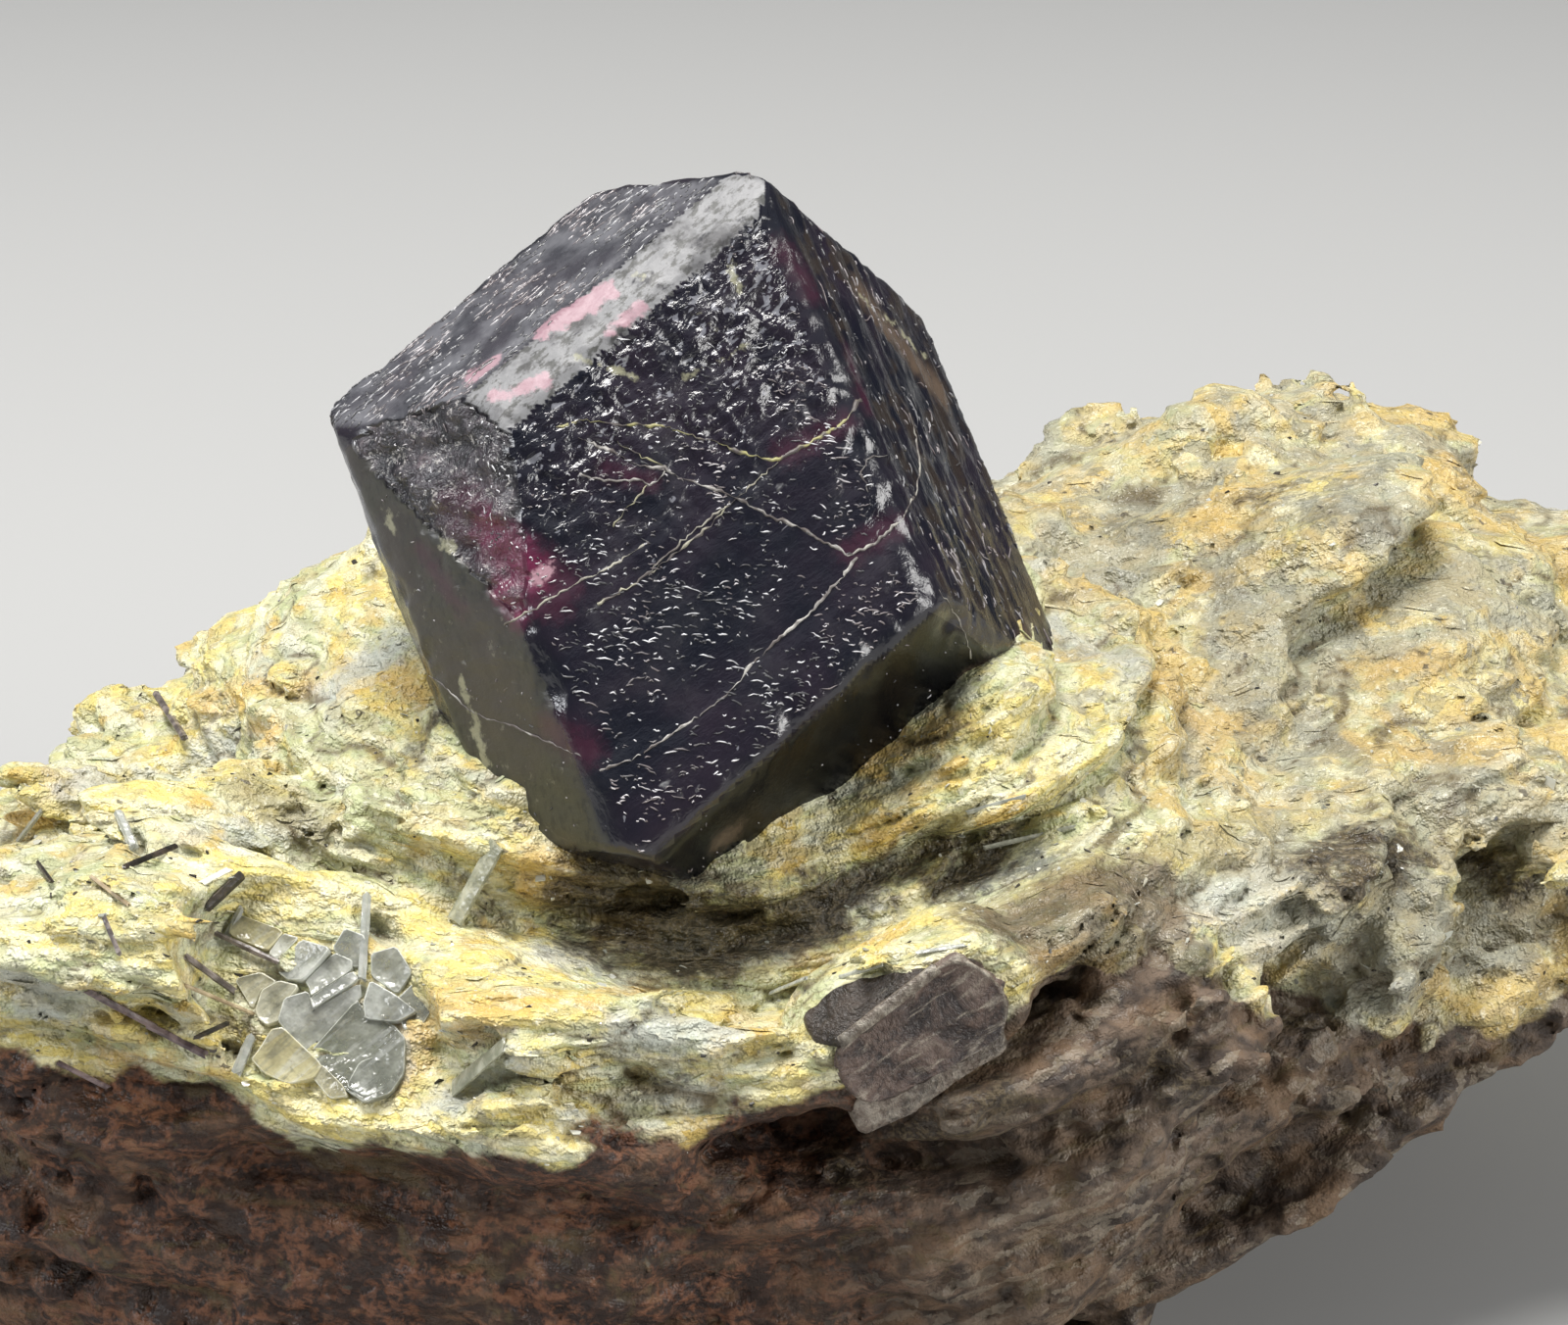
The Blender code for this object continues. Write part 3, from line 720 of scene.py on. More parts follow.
# Colours of the marks: tone, strength and softness of their edges
GARNET_TINTS = (
    ("ruby", (0.05, 0.014, 0.028), 0.7, 0.35),
    ("magenta", (0.15, 0.02, 0.06), 0.8, 0.35),
    ("pink", (0.44, 0.27, 0.31), 0.75, 0.08),
    ("crust", (0.12, 0.085, 0.06), 0.75, 0.35),
    ("yellow", (0.38, 0.37, 0.25), 0.65, 0.08),
)
# Fine lines on the garnet: picture points, half width and paleness, and the
# spacing in the picture of the points that they get. Lines of low paleness
# are yellowish healed cracks; the paleness of the growth steps' rims is a
# painted highlight
LINE_SPACING = 4.0
GARNET_LINES = (
    (((568, 437), (595, 428), (633, 433), (671, 434), (702, 443), (744, 456), (763, 464),
      (794, 470), (809, 460), (840, 445), (863, 430), (878, 407)), 0.05, -0.6),
    (((591, 445), (614, 456), (645, 472), (679, 479), (710, 493), (748, 506), (782, 525),
      (817, 539), (847, 556), (866, 567)), 0.045, 0.5),
    (((629, 451), (652, 464), (679, 477)), 0.035, -0.2),
    (((591, 485), (618, 491), (648, 489), (664, 495), (679, 481)), 0.03, 0.4),
    (((660, 495), (641, 518), (625, 537)), 0.025, -0.1),
    (((794, 472), (771, 491), (752, 506), (729, 533), (706, 552), (671, 579), (641, 600),
      (610, 617)), 0.035, 0.0),
    (((515, 638), (548, 620), (584, 598), (632, 573), (657, 555)), 0.03, 0.1),
    (((610, 787), (643, 776), (679, 754), (715, 729), (752, 700), (766, 678), (799, 649),
      (828, 624), (857, 591), (875, 569)), 0.05, 0.3),
    (((866, 567), (897, 552), (920, 529), (935, 502), (939, 475), (935, 449), (928, 422)), 0.04, 0.2),
    (((428, 682), (454, 700), (475, 722), (497, 733), (523, 740), (548, 753), (570, 762),
      (595, 771)), 0.035, 0.5),
    (((958, 602), (974, 625), (985, 648), (991, 671)), 0.035, 0.3),
    (((905, 464), (886, 468), (878, 483), (886, 502)), 0.035, 0.3),
    (((745, 512), (700, 548), (655, 590)), 0.02, 0.1),
)
# Frost on the crystal faces, and the numbers that say how far inside a face a
# point is; the upper left face's share also places a grey painted sheen on it
FROST = {LOWER_RIGHT: 0.0, RIGHT: 0.35, LOWER_LEFT: 0.15, BEVEL: 0.1}
OTHER_FROST = 0.25
FACE_SHARES = {"painted_sheen": UPPER_LEFT, "side": RIGHT, "black": LOWER_RIGHT}
# Dashes on the crystal faces: how many, half length and width, scatter and
# how pale they are, which is a painted glint
FACE_DASHES = {
    FRONT: (2200, 0.08, 0.021, 0.3, 1.0),
    UPPER_LEFT: (900, 0.13, 0.016, 0.2, 0.5),
    WORN: (800, 0.05, 0.022, 1.5, 1.0),
    RIGHT: (300, 0.12, 0.02, 0.7, 0.3),
    LOWER_RIGHT: (70, 0.04, 0.018, 1.5, 0.7),
    LOWER_LEFT: (60, 0.05, 0.02, 1.5, 0.5),
    TOP_BACK: (300, 0.2, 0.026, 0.4, 0.3),
    BACK_LEFT: (160, 0.2, 0.026, 0.4, 0.3),
    BACK_RIGHT: (180, 0.2, 0.026, 0.4, 0.3),
}
# Places tried for each dash, over how much of the face's plane, stations
# along a dash, its height, and the share of dashes that are pale with a painted
# glint
DASH_TRIES = 12
DASH_SPREAD = 11.0
DASH_STATIONS = 5
DASH_HEIGHT = 0.03
GLINTING_DASHES = 0.42


def make_garnet(looks):
    directions, quads, triangles = garnet_grid()
    radius, face = garnet_surface(directions)
    offsets = directions * radius[:, None]
    points = GARNET_CENTRE + offsets
    piece = make_piece("garnet_crystal", points, (quads, triangles), looks, ["garnet"])
    set_face_coordinates(piece, directions, radius, quads, triangles)
    tree = surface_tree(piece)
    on_face = {name: face == number for number, name in enumerate(FACE_NAMES)}
    s, t = (offsets * FACE_RUN[face]).sum(axis=1), (offsets * FACE_RISE[face]).sum(axis=1)
    front = 0.2 + 0.4 * smooth_step(-t, -2.0, 4.5) + 0.3 * smooth_step(-s, 0.5, 4.0)
    frost = np.where(on_face[FRONT], front, OTHER_FROST)
    for name, amount in FROST.items():
        frost[on_face[name]] = amount
    set_values(piece, frost=frost, strip=on_face[BEVEL], worn=on_face[WORN],
               olive=on_face[LOWER_LEFT] | on_face[LEFT],
               **{kind: face_share(name, directions) for kind, name in FACE_SHARES.items()},
               **{kind: mark_reach(tree, points, marks) for kind, marks in GARNET_MARKS.items()})
    return tree


def face_share(name, directions):
    """How far the directions lie inside one face: 1 on it, 0 beyond its edges."""
    reach = face_reach(directions)[1]
    number = FACE_NAMES.index(name)
    others = np.delete(reach, number, axis=1).min(axis=1)
    return smooth_step(others - reach[:, number], -0.06, 0.12)


def set_face_coordinates(piece, directions, radius, quads, triangles):
    """Give each polygon the coordinates of the crystal face that it is on."""
    corners = np.concatenate([quads.ravel(), triangles.ravel()])
    owners = np.concatenate([np.repeat(np.arange(len(quads)), 4),
                             np.repeat(np.arange(len(triangles)), 3) + len(quads)])
    middles = normalised(np.concatenate([directions[group].mean(axis=1) for group in (quads, triangles)]))
    face = garnet_surface(middles)[1]
    dull = np.isin(face, [FACE_NAMES.index(name) for name in (BEVEL, LOWER_RIGHT, RIGHT)])
    piece.data.polygons.foreach_set("material_index", dull.astype(np.int32))
    face = face[owners]
    points = (directions * radius[:, None])[corners]
    s, t = (points * FACE_RUN[face]).sum(axis=1), (points * FACE_RISE[face]).sum(axis=1)
    layer = piece.data.uv_layers.new(name="face_plane")
    layer.data.foreach_set("uv", np.stack((s + 40.0 * face, t), axis=1).astype(np.float32).ravel())


def surface_tree(piece):
    mesh = piece.data
    return BVHTree.FromPolygons([vertex.co for vertex in mesh.vertices],
                                [polygon.vertices for polygon in mesh.polygons])


def spindles(paths, sides, outward, widths, heights):
    """Thin bodies along paths, pointed at both ends and four-sided between.

    paths is (n, k, 3); sides and outward are (n, 3); widths and heights are
    (n, k - 2), for the points between the ends.
    """
    count, stations = paths.shape[:2]
    inner = paths[:, 1:-1]
    side = sides[:, None, :] * widths[..., None]
    rise = outward[:, None, :] * heights[..., None]
    ring = np.stack((inner - side, inner + rise, inner + side, inner - rise * 0.6), axis=2)
    points = np.concatenate((paths[:, :1], paths[:, -1:], ring.reshape(count, -1, 3)), axis=1)
    quads, triangles = [], []
    for corner in range(4):
        after = (corner + 1) % 4
        last = 2 + 4 * (stations - 3)
        triangles.append((0, 2 + corner, 2 + after))
        triangles.append((1, last + after, last + corner))
        for station in range(stations - 3):
            low = 2 + 4 * station
            quads.append((low + corner, low + 4 + corner, low + 4 + after, low + after))
    shift = (np.arange(count) * points.shape[1])[:, None, None]
    faces = [(np.array(group) + shift).reshape(-1, len(group[0])) for group in (quads, triangles)]
    return points.reshape(-1, 3), faces


def onto_garnet(points):
    """Move points along their lines from the centre onto the surface."""
    offsets = points - GARNET_CENTRE
    directions = normalised(offsets.reshape(-1, 3))
    radius = garnet_surface(directions)[0]
    return (GARNET_CENTRE + directions * radius[:, None]).reshape(points.shape)


def make_dashes(look):
    """Short raised ridges that growth left on the crystal faces, some pale with painted glints."""
    random = np.random.default_rng(7)
    groups, shades = [], []
    for name, (count, length, width, scatter, pale) in FACE_DASHES.items():
        number = FACE_NAMES.index(name)
        normal, run, rise = FACE_NORMALS[number], FACE_RUN[number], FACE_RISE[number]
        flat = random.uniform(-DASH_SPREAD, DASH_SPREAD, (DASH_TRIES * count, 2))
        middle = normal * FACE_DISTANCES[number] + flat[:, :1] * run + flat[:, 1:] * rise
        on_face = garnet_surface(normalised(middle))[1] == number
        chance = 0.6 + 0.7 * noise(flat[:, 0] / 1.6, flat[:, 1] / 1.3, 0.0, 21)
        if name == FRONT:
            chance *= 0.5 - 0.1 * smooth_step(-flat[:, 1], -4.0, 3.0)
        kept = np.flatnonzero(on_face & (random.random(len(flat)) < chance))[:count]
        flat, middle, total = flat[kept], middle[kept], len(kept)
        level = np.array((1.0, 0.0, 0.0)) - normal[0] * normal
        level /= np.linalg.norm(level)
        if name in (UPPER_LEFT, RIGHT, TOP_BACK):
            level = run
        turn = random.normal(0.0, scatter, total)[:, None]
        along = np.cos(turn) * level + np.sin(turn) * np.cross(normal, level)
        side = np.cross(normal, along)
        size = random.gamma(2.2, 0.42, total) + 0.2
        if name == FRONT:
            size *= 1.0 - 0.45 * smooth_step(-flat[:, 1], -1.0, 4.0)
        stations = np.linspace(-1.0, 1.0, DASH_STATIONS)
        reach = stations[None, :] * (length * size)[:, None]
        bend = random.normal(0.15, 0.35, total)[:, None] * length
        wave = random.normal(0.0, 0.3, (total, DASH_STATIONS)) * width * 1.6
        curve = bend * (1.0 - (stations ** 2))[None, :] + wave
        paths = (middle[:, None, :] + along[:, None, :] * reach[..., None]
                 + side[:, None, :] * curve[..., None])
        paths = onto_garnet(GARNET_CENTRE + paths)
        widths = width * random.uniform(0.5, 1.3, (total, DASH_STATIONS - 2))
        heights = np.full(widths.shape, DASH_HEIGHT)
        chosen = random.random(total)
        glint_brightness = 0.45 + 0.55 * chosen / GLINTING_DASHES
        shades.append(np.where(chosen < GLINTING_DASHES, glint_brightness, 0.12 * chosen) * pale)
        groups.append((paths, side, np.tile(normal, (total, 1)), widths, heights))
    points, faces = spindles(*[np.concatenate(parts) for parts in zip(*groups)])
    shades = np.concatenate(shades)
    piece = make_piece("garnet_ridges", points, faces, [look])
    set_values(piece, shade=np.repeat(shades, len(points) // len(shades)))


def thickened(line, spacing):
    """A line with extra points along it."""
    line = np.array(line, dtype=float)
    steps = np.linalg.norm(np.diff(line, axis=0), axis=1)
    along = np.concatenate([[0.0], np.cumsum(steps)])
    at = np.linspace(0.0, along[-1], max(int(along[-1] / spacing), 3))
    return np.stack([np.interp(at, along, line[:, n]) for n in range(line.shape[1])], axis=1)


def make_lines(tree, look):
    """Healed cracks, and the rims of growth steps made pale as a painted highlight."""
    random = np.random.default_rng(15)
    points, quads, shades, total = [], [], [], 0
    for line, width, pale in GARNET_LINES:
        seen = [on_surface(tree, *place)[0] for place in thickened(line, LINE_SPACING)]
        path = np.array([place for place in seen if place is not None])
        tangent = normalised(np.gradient(path, axis=0))
        outward = normalised(path - GARNET_CENTRE)
        side = normalised(np.cross(tangent, outward))
        path = path + side * (random.normal(0.0, 0.025, len(path)))[:, None]
        uneven = noise(np.arange(len(path)) / 2.2, 0.0, 0.0, int(width * 1e4))
        half = width * np.clip(0.75 + 0.9 * uneven, 0.15, 1.6)
        ring = np.stack((path - side * half[:, None], path + outward * 0.03,
                         path + side * half[:, None], path - outward * 0.03), axis=1)
        number = np.arange(len(path) * 4).reshape(-1, 4) + total
        for corner in range(4):
            after = (corner + 1) % 4
            quads.append(np.stack((number[:-1, corner], number[1:, corner],
                                   number[1:, after], number[:-1, after]), axis=1))
        quads.append(number[:1])
        quads.append(number[-1:, ::-1])
        points.append(ring.reshape(-1, 3))
        shades.append(np.full(len(path) * 4, pale))
        total += len(path) * 4
    piece = make_piece("garnet_lines", np.concatenate(points), (np.concatenate(quads),), [look])
    set_values(piece, pale=np.concatenate(shades))


def line_look():
    look = Look("crystal_lines", Roughness=0.45)
    pale = look.value("pale")
    place = look.place()
    # Yellowish healed cracks, and pale step rims that are a painted highlight
    colour = look.mix(pale.ramp(-0.5, 0.4), (0.36, 0.34, 0.15), (0.4, 0.385, 0.36))
    colour = look.mix(look.noise(place, 2.2, 3.0).ramp(0.4, 0.62), (0.1, 0.085, 0.08), colour)
    return look.finished(Base_Color=colour)


def ridge_look():
    look = Look("crystal_ridge_glints", Roughness=0.3, IOR=1.8)
    shade = look.value("shade")
    # Pale ridges carry painted glints; the rest stay dark
    colour = look.mix(shade, (0.015, 0.015, 0.018), (0.92, 0.92, 0.95))
    colour = look.mix(look.noise(look.place(), 0.5, 2.0).ramp(0.45, 0.6, 0.0, 0.3), colour, (0.5, 0.4, 0.4))
    return look.finished(Base_Color=colour)


def garnet_look(name, shine):
    look = Look(name, Roughness=0.2, IOR=1.8, Specular_IOR_Level=shine)
    s, t, _ = look.split(look.out("ShaderNodeUVMap", {}, uv_map="face_plane"))
    place = look.place()
    frost = look.value("frost")
    slow = look.noise(place, 0.35, 3.0, 0.55)
    colour = look.mix(slow.ramp(0.35, 0.7), (0.006, 0.007, 0.013), (0.018, 0.013, 0.022))
    salt = look.grain((s, t, 0.0), (2.1, 4.0, 0.0), 3.0, 0.58, 0.5)
    veil = look.noise(place, 0.8, 4.0, 0.6)
    crest = salt - frost.ramp(0.0, 1.0, 0.72, 0.55)
    # Pale bluish marks on the crests of the fine relief are painted highlights
    marks = crest.ramp(0.0, 0.04)
    colour = look.coats(colour, (
        (veil.ramp(0.5, 0.72) * frost * 0.4, (0.06, 0.055, 0.062)),
        # Grey painted sheen on the upper left face, a painted reflection
        (look.value("painted_sheen") * veil.ramp(0.35, 0.7, 0.25, 0.9), (0.15, 0.15, 0.165)),
        (look.value("side") * veil.ramp(0.48, 0.6, 0.0, 0.8), (0.03, 0.022, 0.017)),
        (marks * 0.6, (0.27, 0.275, 0.31)),
    ))
    olive = look.value("olive")
    specks = look.grain((s, t, 0.0), (5.0, 2.5, 0.0), 3.0, 0.6).ramp(0.5, 0.62)
    skin = look.mix(specks, (0.028, 0.028, 0.018), (0.008, 0.008, 0.006))
    skin = look.coats(skin, (
        (slow.ramp(0.42, 0.62, 0.0, 0.8), (0.036, 0.028, 0.024)),
        (look.noise(place, 3.2, 4.0, 0.7).ramp(0.62, 0.7, 0.0, 0.5), (0.2, 0.19, 0.15)),
    ))
    colour = look.mix(olive * 0.9, colour, skin)
    # The narrow bevel between the upper left and front faces is painted light grey: a painted reflection of
    # the light overhead
    spots = look.grain((s, t, 0.0), (2.2, 4.0, 0.0), 4.0, 0.65).ramp(0.48, 0.6)
    strip = look.mix(spots, (0.25, 0.25, 0.255), (0.085, 0.085, 0.08))
    strip = look.mix(veil.ramp(0.5, 0.66, 0.0, 0.7), strip, (0.045, 0.042, 0.045))
    uneven = look.noise(place, 1.1, 4.0, 0.6) - 0.5
    edge = look.value("strip") + (salt - 0.5) * 1.5 + uneven * 2.0
    colour = look.mix(edge.ramp(0.4, 0.75, 0.0, 0.85), colour, strip)
    crumbs = look.noise(place, 1.3, 4.0, 0.7, 0.3)
    worn = look.mix(crumbs.ramp(0.42, 0.55), (0.01, 0.009, 0.013), (0.05, 0.042, 0.05))
    worn = look.coats(worn, (
        (crumbs.ramp(0.6, 0.68, 0.0, 0.7), (0.13, 0.1, 0.11)),
        (look.noise(place, 3.4, 4.0, 0.75).ramp(0.57, 0.63, 0.0, 0.85), (0.4, 0.38, 0.36)),
    ))
    colour = look.coats(colour, (
        (look.value("worn"), worn),
        (look.value("black"), (0.003, 0.003, 0.004)),
    ))
    ragged = (look.noise(place, 2.5, 4.0, 0.65) - 0.5) * 0.9
    for kind, shade, amount, soft in GARNET_TINTS:
        reach = look.value(kind) + ragged
        colour = look.mix(reach.ramp(-soft, soft, amount, 0.0), colour, shade)
    dull = olive.larger(look.value("worn")).larger(look.value("strip"))
    rough = veil.ramp(0.3, 0.8, 0.13, 0.3) + dull * 0.22 + look.value("painted_sheen") * 0.12
    pits = look.grain((s, t, 0.0), (5.0, 9.0, 0.0), 3.0, 0.6)
    height = crest * frost * 1.2 + pits * 0.12 + look.value("worn") * (crumbs * 3.0)
    return look.finished(Base_Color=colour, Roughness=rough + marks * 0.12, Normal=look.bump(height, 0.09))


# Rock

def layer_bend(x, y):
    """How far the layers are lifted at a place in plan."""
    reach = np.hypot(x - BOWL_CENTRE[0], y - BOWL_CENTRE[1]) / BOWL_RADIUS
    bowl = -BOWL_DEPTH * np.exp(-0.5 * reach * reach)
    return bowl + LAYER_RISE * softplus(x - LAYER_RISE_FROM, LAYER_RISE_BEND)


def height_kernel(distance):
    return np.sqrt(distance * distance + HEIGHT_SOFTNESS ** 2)


def top_height(x, y):
    gaps = np.hypot(*(HEIGHTS[:, None, :2] - HEIGHTS[None, :, :2]).transpose(2, 0, 1))
    mean = HEIGHTS[:, 2].mean()
    weights = np.linalg.solve(height_kernel(gaps), HEIGHTS[:, 2] - mean)
    height = np.full(np.broadcast(x, y).shape, mean)
    for (px, py, _), weight in zip(HEIGHTS, weights):
        height += weight * height_kernel(np.hypot(x - px, y - py))
    return height


def outline_curve(per_point=5):
    """The outline as a smooth closed curve through its points."""
    points = np.array(OUTLINE)
    before, after = np.roll(points, 1, axis=0), np.roll(points, -1, axis=0)
    beyond = np.roll(points, -2, axis=0)
    curve = []
    for t in np.arange(per_point) / per_point:
        curve.append(0.5 * (2.0 * points + (after - before) * t
                            + (2.0 * before - 5.0 * points + 4.0 * after - beyond) * t ** 2
                            + (3.0 * points - before - 3.0 * after + beyond) * t ** 3))
    return np.stack(curve, axis=1).reshape(-1, 2)


def outline_distance(x, y):
    """Distance in plan from the outline, below zero inside it."""
    curve = outline_curve()
    nearest = np.full(x.shape, np.inf)
    inside = np.zeros(x.shape, dtype=bool)
    for (ax, ay), (bx, by) in zip(curve, np.roll(curve, -1, axis=0)):
        ex, ey = bx - ax, by - ay
        along = np.clip(((x - ax) * ex + (y - ay) * ey) / (ex * ex + ey * ey), 0.0, 1.0)
        nearest = np.minimum(nearest, np.hypot(x - ax - along * ex, y - ay - along * ey))
        crosses = (ay > y) != (by > y)
        if ey != 0.0:
            inside ^= crosses & (x < ax + (y - ay) * ex / ey)
    return np.where(inside, -nearest, nearest)


def ellipsoid(x, y, z, centre, half):
    dx, dy, dz = ((value - middle) / size for value, middle, size in zip((x, y, z), centre, half))
    return (np.sqrt(dx * dx + dy * dy + dz * dz) - 1.0) * min(half)


def lower_shade_share(x, y, z):
    """Share of the rock's lower part, which gets dark reddish painted shade."""
    line = np.interp(x, *np.array(LOWER_SHADE_EDGE).T) - 0.15 * np.maximum(y + 9.0, 0.0)
    return smooth_step(add_noises(line, (x, y, z), RAGGED_EDGE) - z, -0.6, 0.8)


def layer_texture(x, y, layer):
    """Rolls of mica along the layers: their relief, and the clefts between, whose depth sets the painted
    shade in them.
    """
    warped = add_noises(layer, (x, y, layer), LAYER_WAVES)
    shifted = add_noises(x, (x, y, layer), LAYER_SHIFTS)
    steps = sharpened(noise(shifted / 2.8, y / 2.2, warped / 1.0, 42), 0.5)
    rolls = np.abs(noise(shifted / 2.9, y / 2.1, warped / 0.82, 43))
    thin = np.abs(noise(shifted / 1.3, y / 1.0, warped / 0.4, 44))
    cleft = np.exp(-rolls / 0.06) + 0.35 * np.exp(-thin / 0.08) + 0.35 * np.maximum(steps, 0.0)
    phase = warped / 0.8 + 0.9 * noise(shifted / 2.2, y / 1.7, warped / 1.6, 50)
    sheet = phase - np.floor(phase)
    depth = 0.05 + 0.3 * smooth_step(noise(x / 2.8, y / 2.2, layer / 1.5, 53), -0.3, 0.6)
    relief = 0.26 * steps - 0.6 * (rolls - 0.25) - 0.2 * (thin - 0.25) - depth * (sheet - 0.5)
    cleft = cleft + 1.3 * depth * np.exp(-sheet / 0.16)
    return relief, cleft


def fine_relief(x, y, z):
    """Thin layers, fibres, grain and pits of the rock's surface."""
    layer = z - layer_bend(x, y)
    lower_shade = lower_shade_share(x, y, z)
    ledges = layer_texture(x, y, layer)[0]
    right = smooth_step(x + 0.5 * y, 5.0, 14.0)
    fibres = (0.07 * noise(x / 1.3, y / 0.7, layer / 0.22, 48)
              + 0.14 * noise(x / 0.9, y / 0.8, layer / 0.36, 51))
    grain = 0.08 * noise(x / 0.34, y / 0.34, z / 0.3, 45)
    knobs = add_noises(0.0, (x, y, z), KNOBS)
    ledges = (1.0 - 0.4 * right) * ledges + 0.3 * right * knobs
    lumps = add_noises(0.0, (x, y, z), SOIL_LUMPS)
    pits = 0.18 * smooth_step(noise(x / 0.7, y / 0.7, z / 0.55, 49), 0.35, 0.7)
    return (1.0 - lower_shade) * (ledges + fibres) + lower_shade * (0.45 * ledges + lumps + pits) + grain


def rock_grid():
    """Axes of the grid and the rock's signed depth at its points."""
    axes = []
    for stops in (GRID_X, GRID_Y, GRID_Z):
        places, sizes = np.array(stops).T
        line = [places[0]]
        while line[-1] < places[-1]:
            line.append(line[-1] + np.interp(line[-1], places, sizes))
        axes.append(np.array(line))
    x, y, z = np.meshgrid(*axes, indexing="ij", sparse=True)
    x2, y2 = np.broadcast_arrays(x[..., 0], y[..., 0])
    side = outline_distance(x2, y2)[..., None]
    top = top_height(x2, y2)[..., None]
    undercut = UNDERCUT * np.clip((UNDERCUT_TOP - z) / UNDERCUT_TOP, 0.0, UNDERCUT_LIMIT) ** UNDERCUT_CURVE
    underside = UNDERSIDE_SLOPE * softplus(x - UNDERSIDE_RISE_FROM, UNDERSIDE_BEND) - UNDERSIDE_DEPTH
    field = smooth_max(z - top, side + undercut, EDGE_ROUNDING)
    field = smooth_max(field, underside - z, EDGE_ROUNDING)
    field = with_lumps(field, (x, y, z), LUMPS)
    field = with_hollows(field, (x, y, z), HOLLOWS + CRYSTAL_HOLLOWS)
    field = with_lumps(field, (x, y, z), CRYSTAL_LUMPS)
    add_relief(field, (x, y, z), RELIEF_REACH, coarse_relief)
    field = with_hollows(field, (x, y, z), TRIMS)
    field = with_lumps(field, (x, y, z), FILLS)
    add_relief(field, (x, y, z), FINE_REACH, fine_relief)
    level_beds(axes, field)
    return axes, np.maximum(field, -z)


def with_lumps(field, axes, lumps):
    for centre, half in lumps:
        field = smooth_min(field, ellipsoid(*axes, centre, half), LUMP_ROUNDING)
    return field


def with_hollows(field, axes, hollows):
    for centre, half in hollows:
        field = smooth_max(field, -ellipsoid(*axes, centre, half), HOLLOW_ROUNDING)
    return field


def add_relief(field, axes, reach, relief):
    """Add relief to the field near the surface."""
    near = np.abs(field) < reach
    places = [np.broadcast_to(axis, field.shape)[near] for axis in axes]
    field[near] += relief(*places)


def level_beds(axes, field):
    """Flatten the rock round the two mica stacks, so that they lie in it."""
    for place, turn, level, ends, reach in BEDS:
        normal = turned(turn)[:, 2]
        first, last = on_plane(ends, place + normal * level, normal)
        low, high = np.minimum(first, last) - BED_REACH, np.maximum(first, last) + BED_REACH
        box = tuple(slice(*np.searchsorted(line, span)) for line, span in zip(axes, zip(low, high)))
        x, y, z = np.meshgrid(*[line[part] for line, part in zip(axes, box)], indexing="ij")
        places = np.stack((x, y, z), axis=-1).reshape(-1, 3)
        rise = (places - first) @ normal
        flat = places - rise[:, None] * normal
        share = 1.0 - smooth_step(segment_distance(flat, first, last), reach, reach + 0.6)
        share = (share * (1.0 - smooth_step(np.abs(rise), 2.6, 3.4))).reshape(x.shape)
        bed = add_noises(rise.reshape(x.shape), (x, y, z), BED_GRAIN)
        field[box] = (1.0 - share) * field[box] + share * bed


def coarse_relief(x, y, z):
    return add_noises(0.0, (x, y, z - layer_bend(x, y)), COARSE_RELIEF)


def surface_net(axes, field):
    """Points and square faces along the zero level of a field on a grid."""
    inside = field < 0.0
    nx, ny, nz = field.shape
    count = np.zeros((nx - 1, ny - 1, nz - 1), dtype=np.int8)
    for i, j, k in product((0, 1), repeat=3):
        count += inside[i:nx - 1 + i, j:ny - 1 + j, k:nz - 1 + k]
    active = (count > 0) & (count < 8)
    cells = np.argwhere(active)
    number = np.full(active.shape, -1)
    number[active] = np.arange(len(cells))
    points = np.zeros((len(cells), 3))
    crossings = np.zeros(len(cells))
    for axis in range(3):
        step = np.eye(3, dtype=int)[axis]
        for i, j in product((0, 1), repeat=2):
            shift = np.zeros(3, dtype=int)
            shift[(axis + 1) % 3], shift[(axis + 2) % 3] = i, j
            start, end = cells + shift, cells + shift + step
            first, last = field[tuple(start.T)], field[tuple(end.T)]
            crosses = (first < 0.0) != (last < 0.0)
            share = np.where(crosses, first / np.where(crosses, first - last, 1.0), 0.0)
            place = np.stack([line[start[:, n]] for n, line in enumerate(axes)], axis=1)
            place[:, axis] += share * (axes[axis][end[:, axis]] - axes[axis][start[:, axis]])
            points += place * crosses[:, None]
            crossings += crosses
    points /= crossings[:, None]
    quads = []
    for axis in range(3):
        along = [slice(1, -1)] * 3
        along[axis] = slice(0, -1)
        ahead = [slice(1, -1)] * 3
        ahead[axis] = slice(1, None)
        low, high = inside[tuple(along)], inside[tuple(ahead)]
        edges = np.argwhere(low != high)
        outward = low[tuple(edges.T)]
        offset = np.ones(3, dtype=int)
        offset[axis] = 0
        edges += offset
        u, v = np.eye(3, dtype=int)[(axis + 1) % 3], np.eye(3, dtype=int)[(axis + 2) % 3]
        ring = [number[tuple((edges - a * u - b * v).T)] for a, b in ((1, 1), (0, 1), (0, 0), (1, 0))]
        quad = np.stack(ring, axis=1)
        quads.append(np.where(outward[:, None], quad, quad[:, ::-1]))
    return points, np.concatenate(quads)


def largest_part(points, quads):
    """Drop the loose crumbs and keep the one big closed surface."""
    label = np.arange(len(points))
    first, last = quads.ravel(), np.roll(quads, -1, axis=1).ravel()
    while True:
        low = np.minimum(label[first], label[last])
        found = label.copy()
        np.minimum.at(found, first, low)
        np.minimum.at(found, last, low)
        found = found[found]
        if np.array_equal(found, label):
            break
        label = found
    kept = label == np.bincount(label).argmax()
    number = np.cumsum(kept) - 1
    return points[kept], number[quads[kept[quads[:, 0]]]]


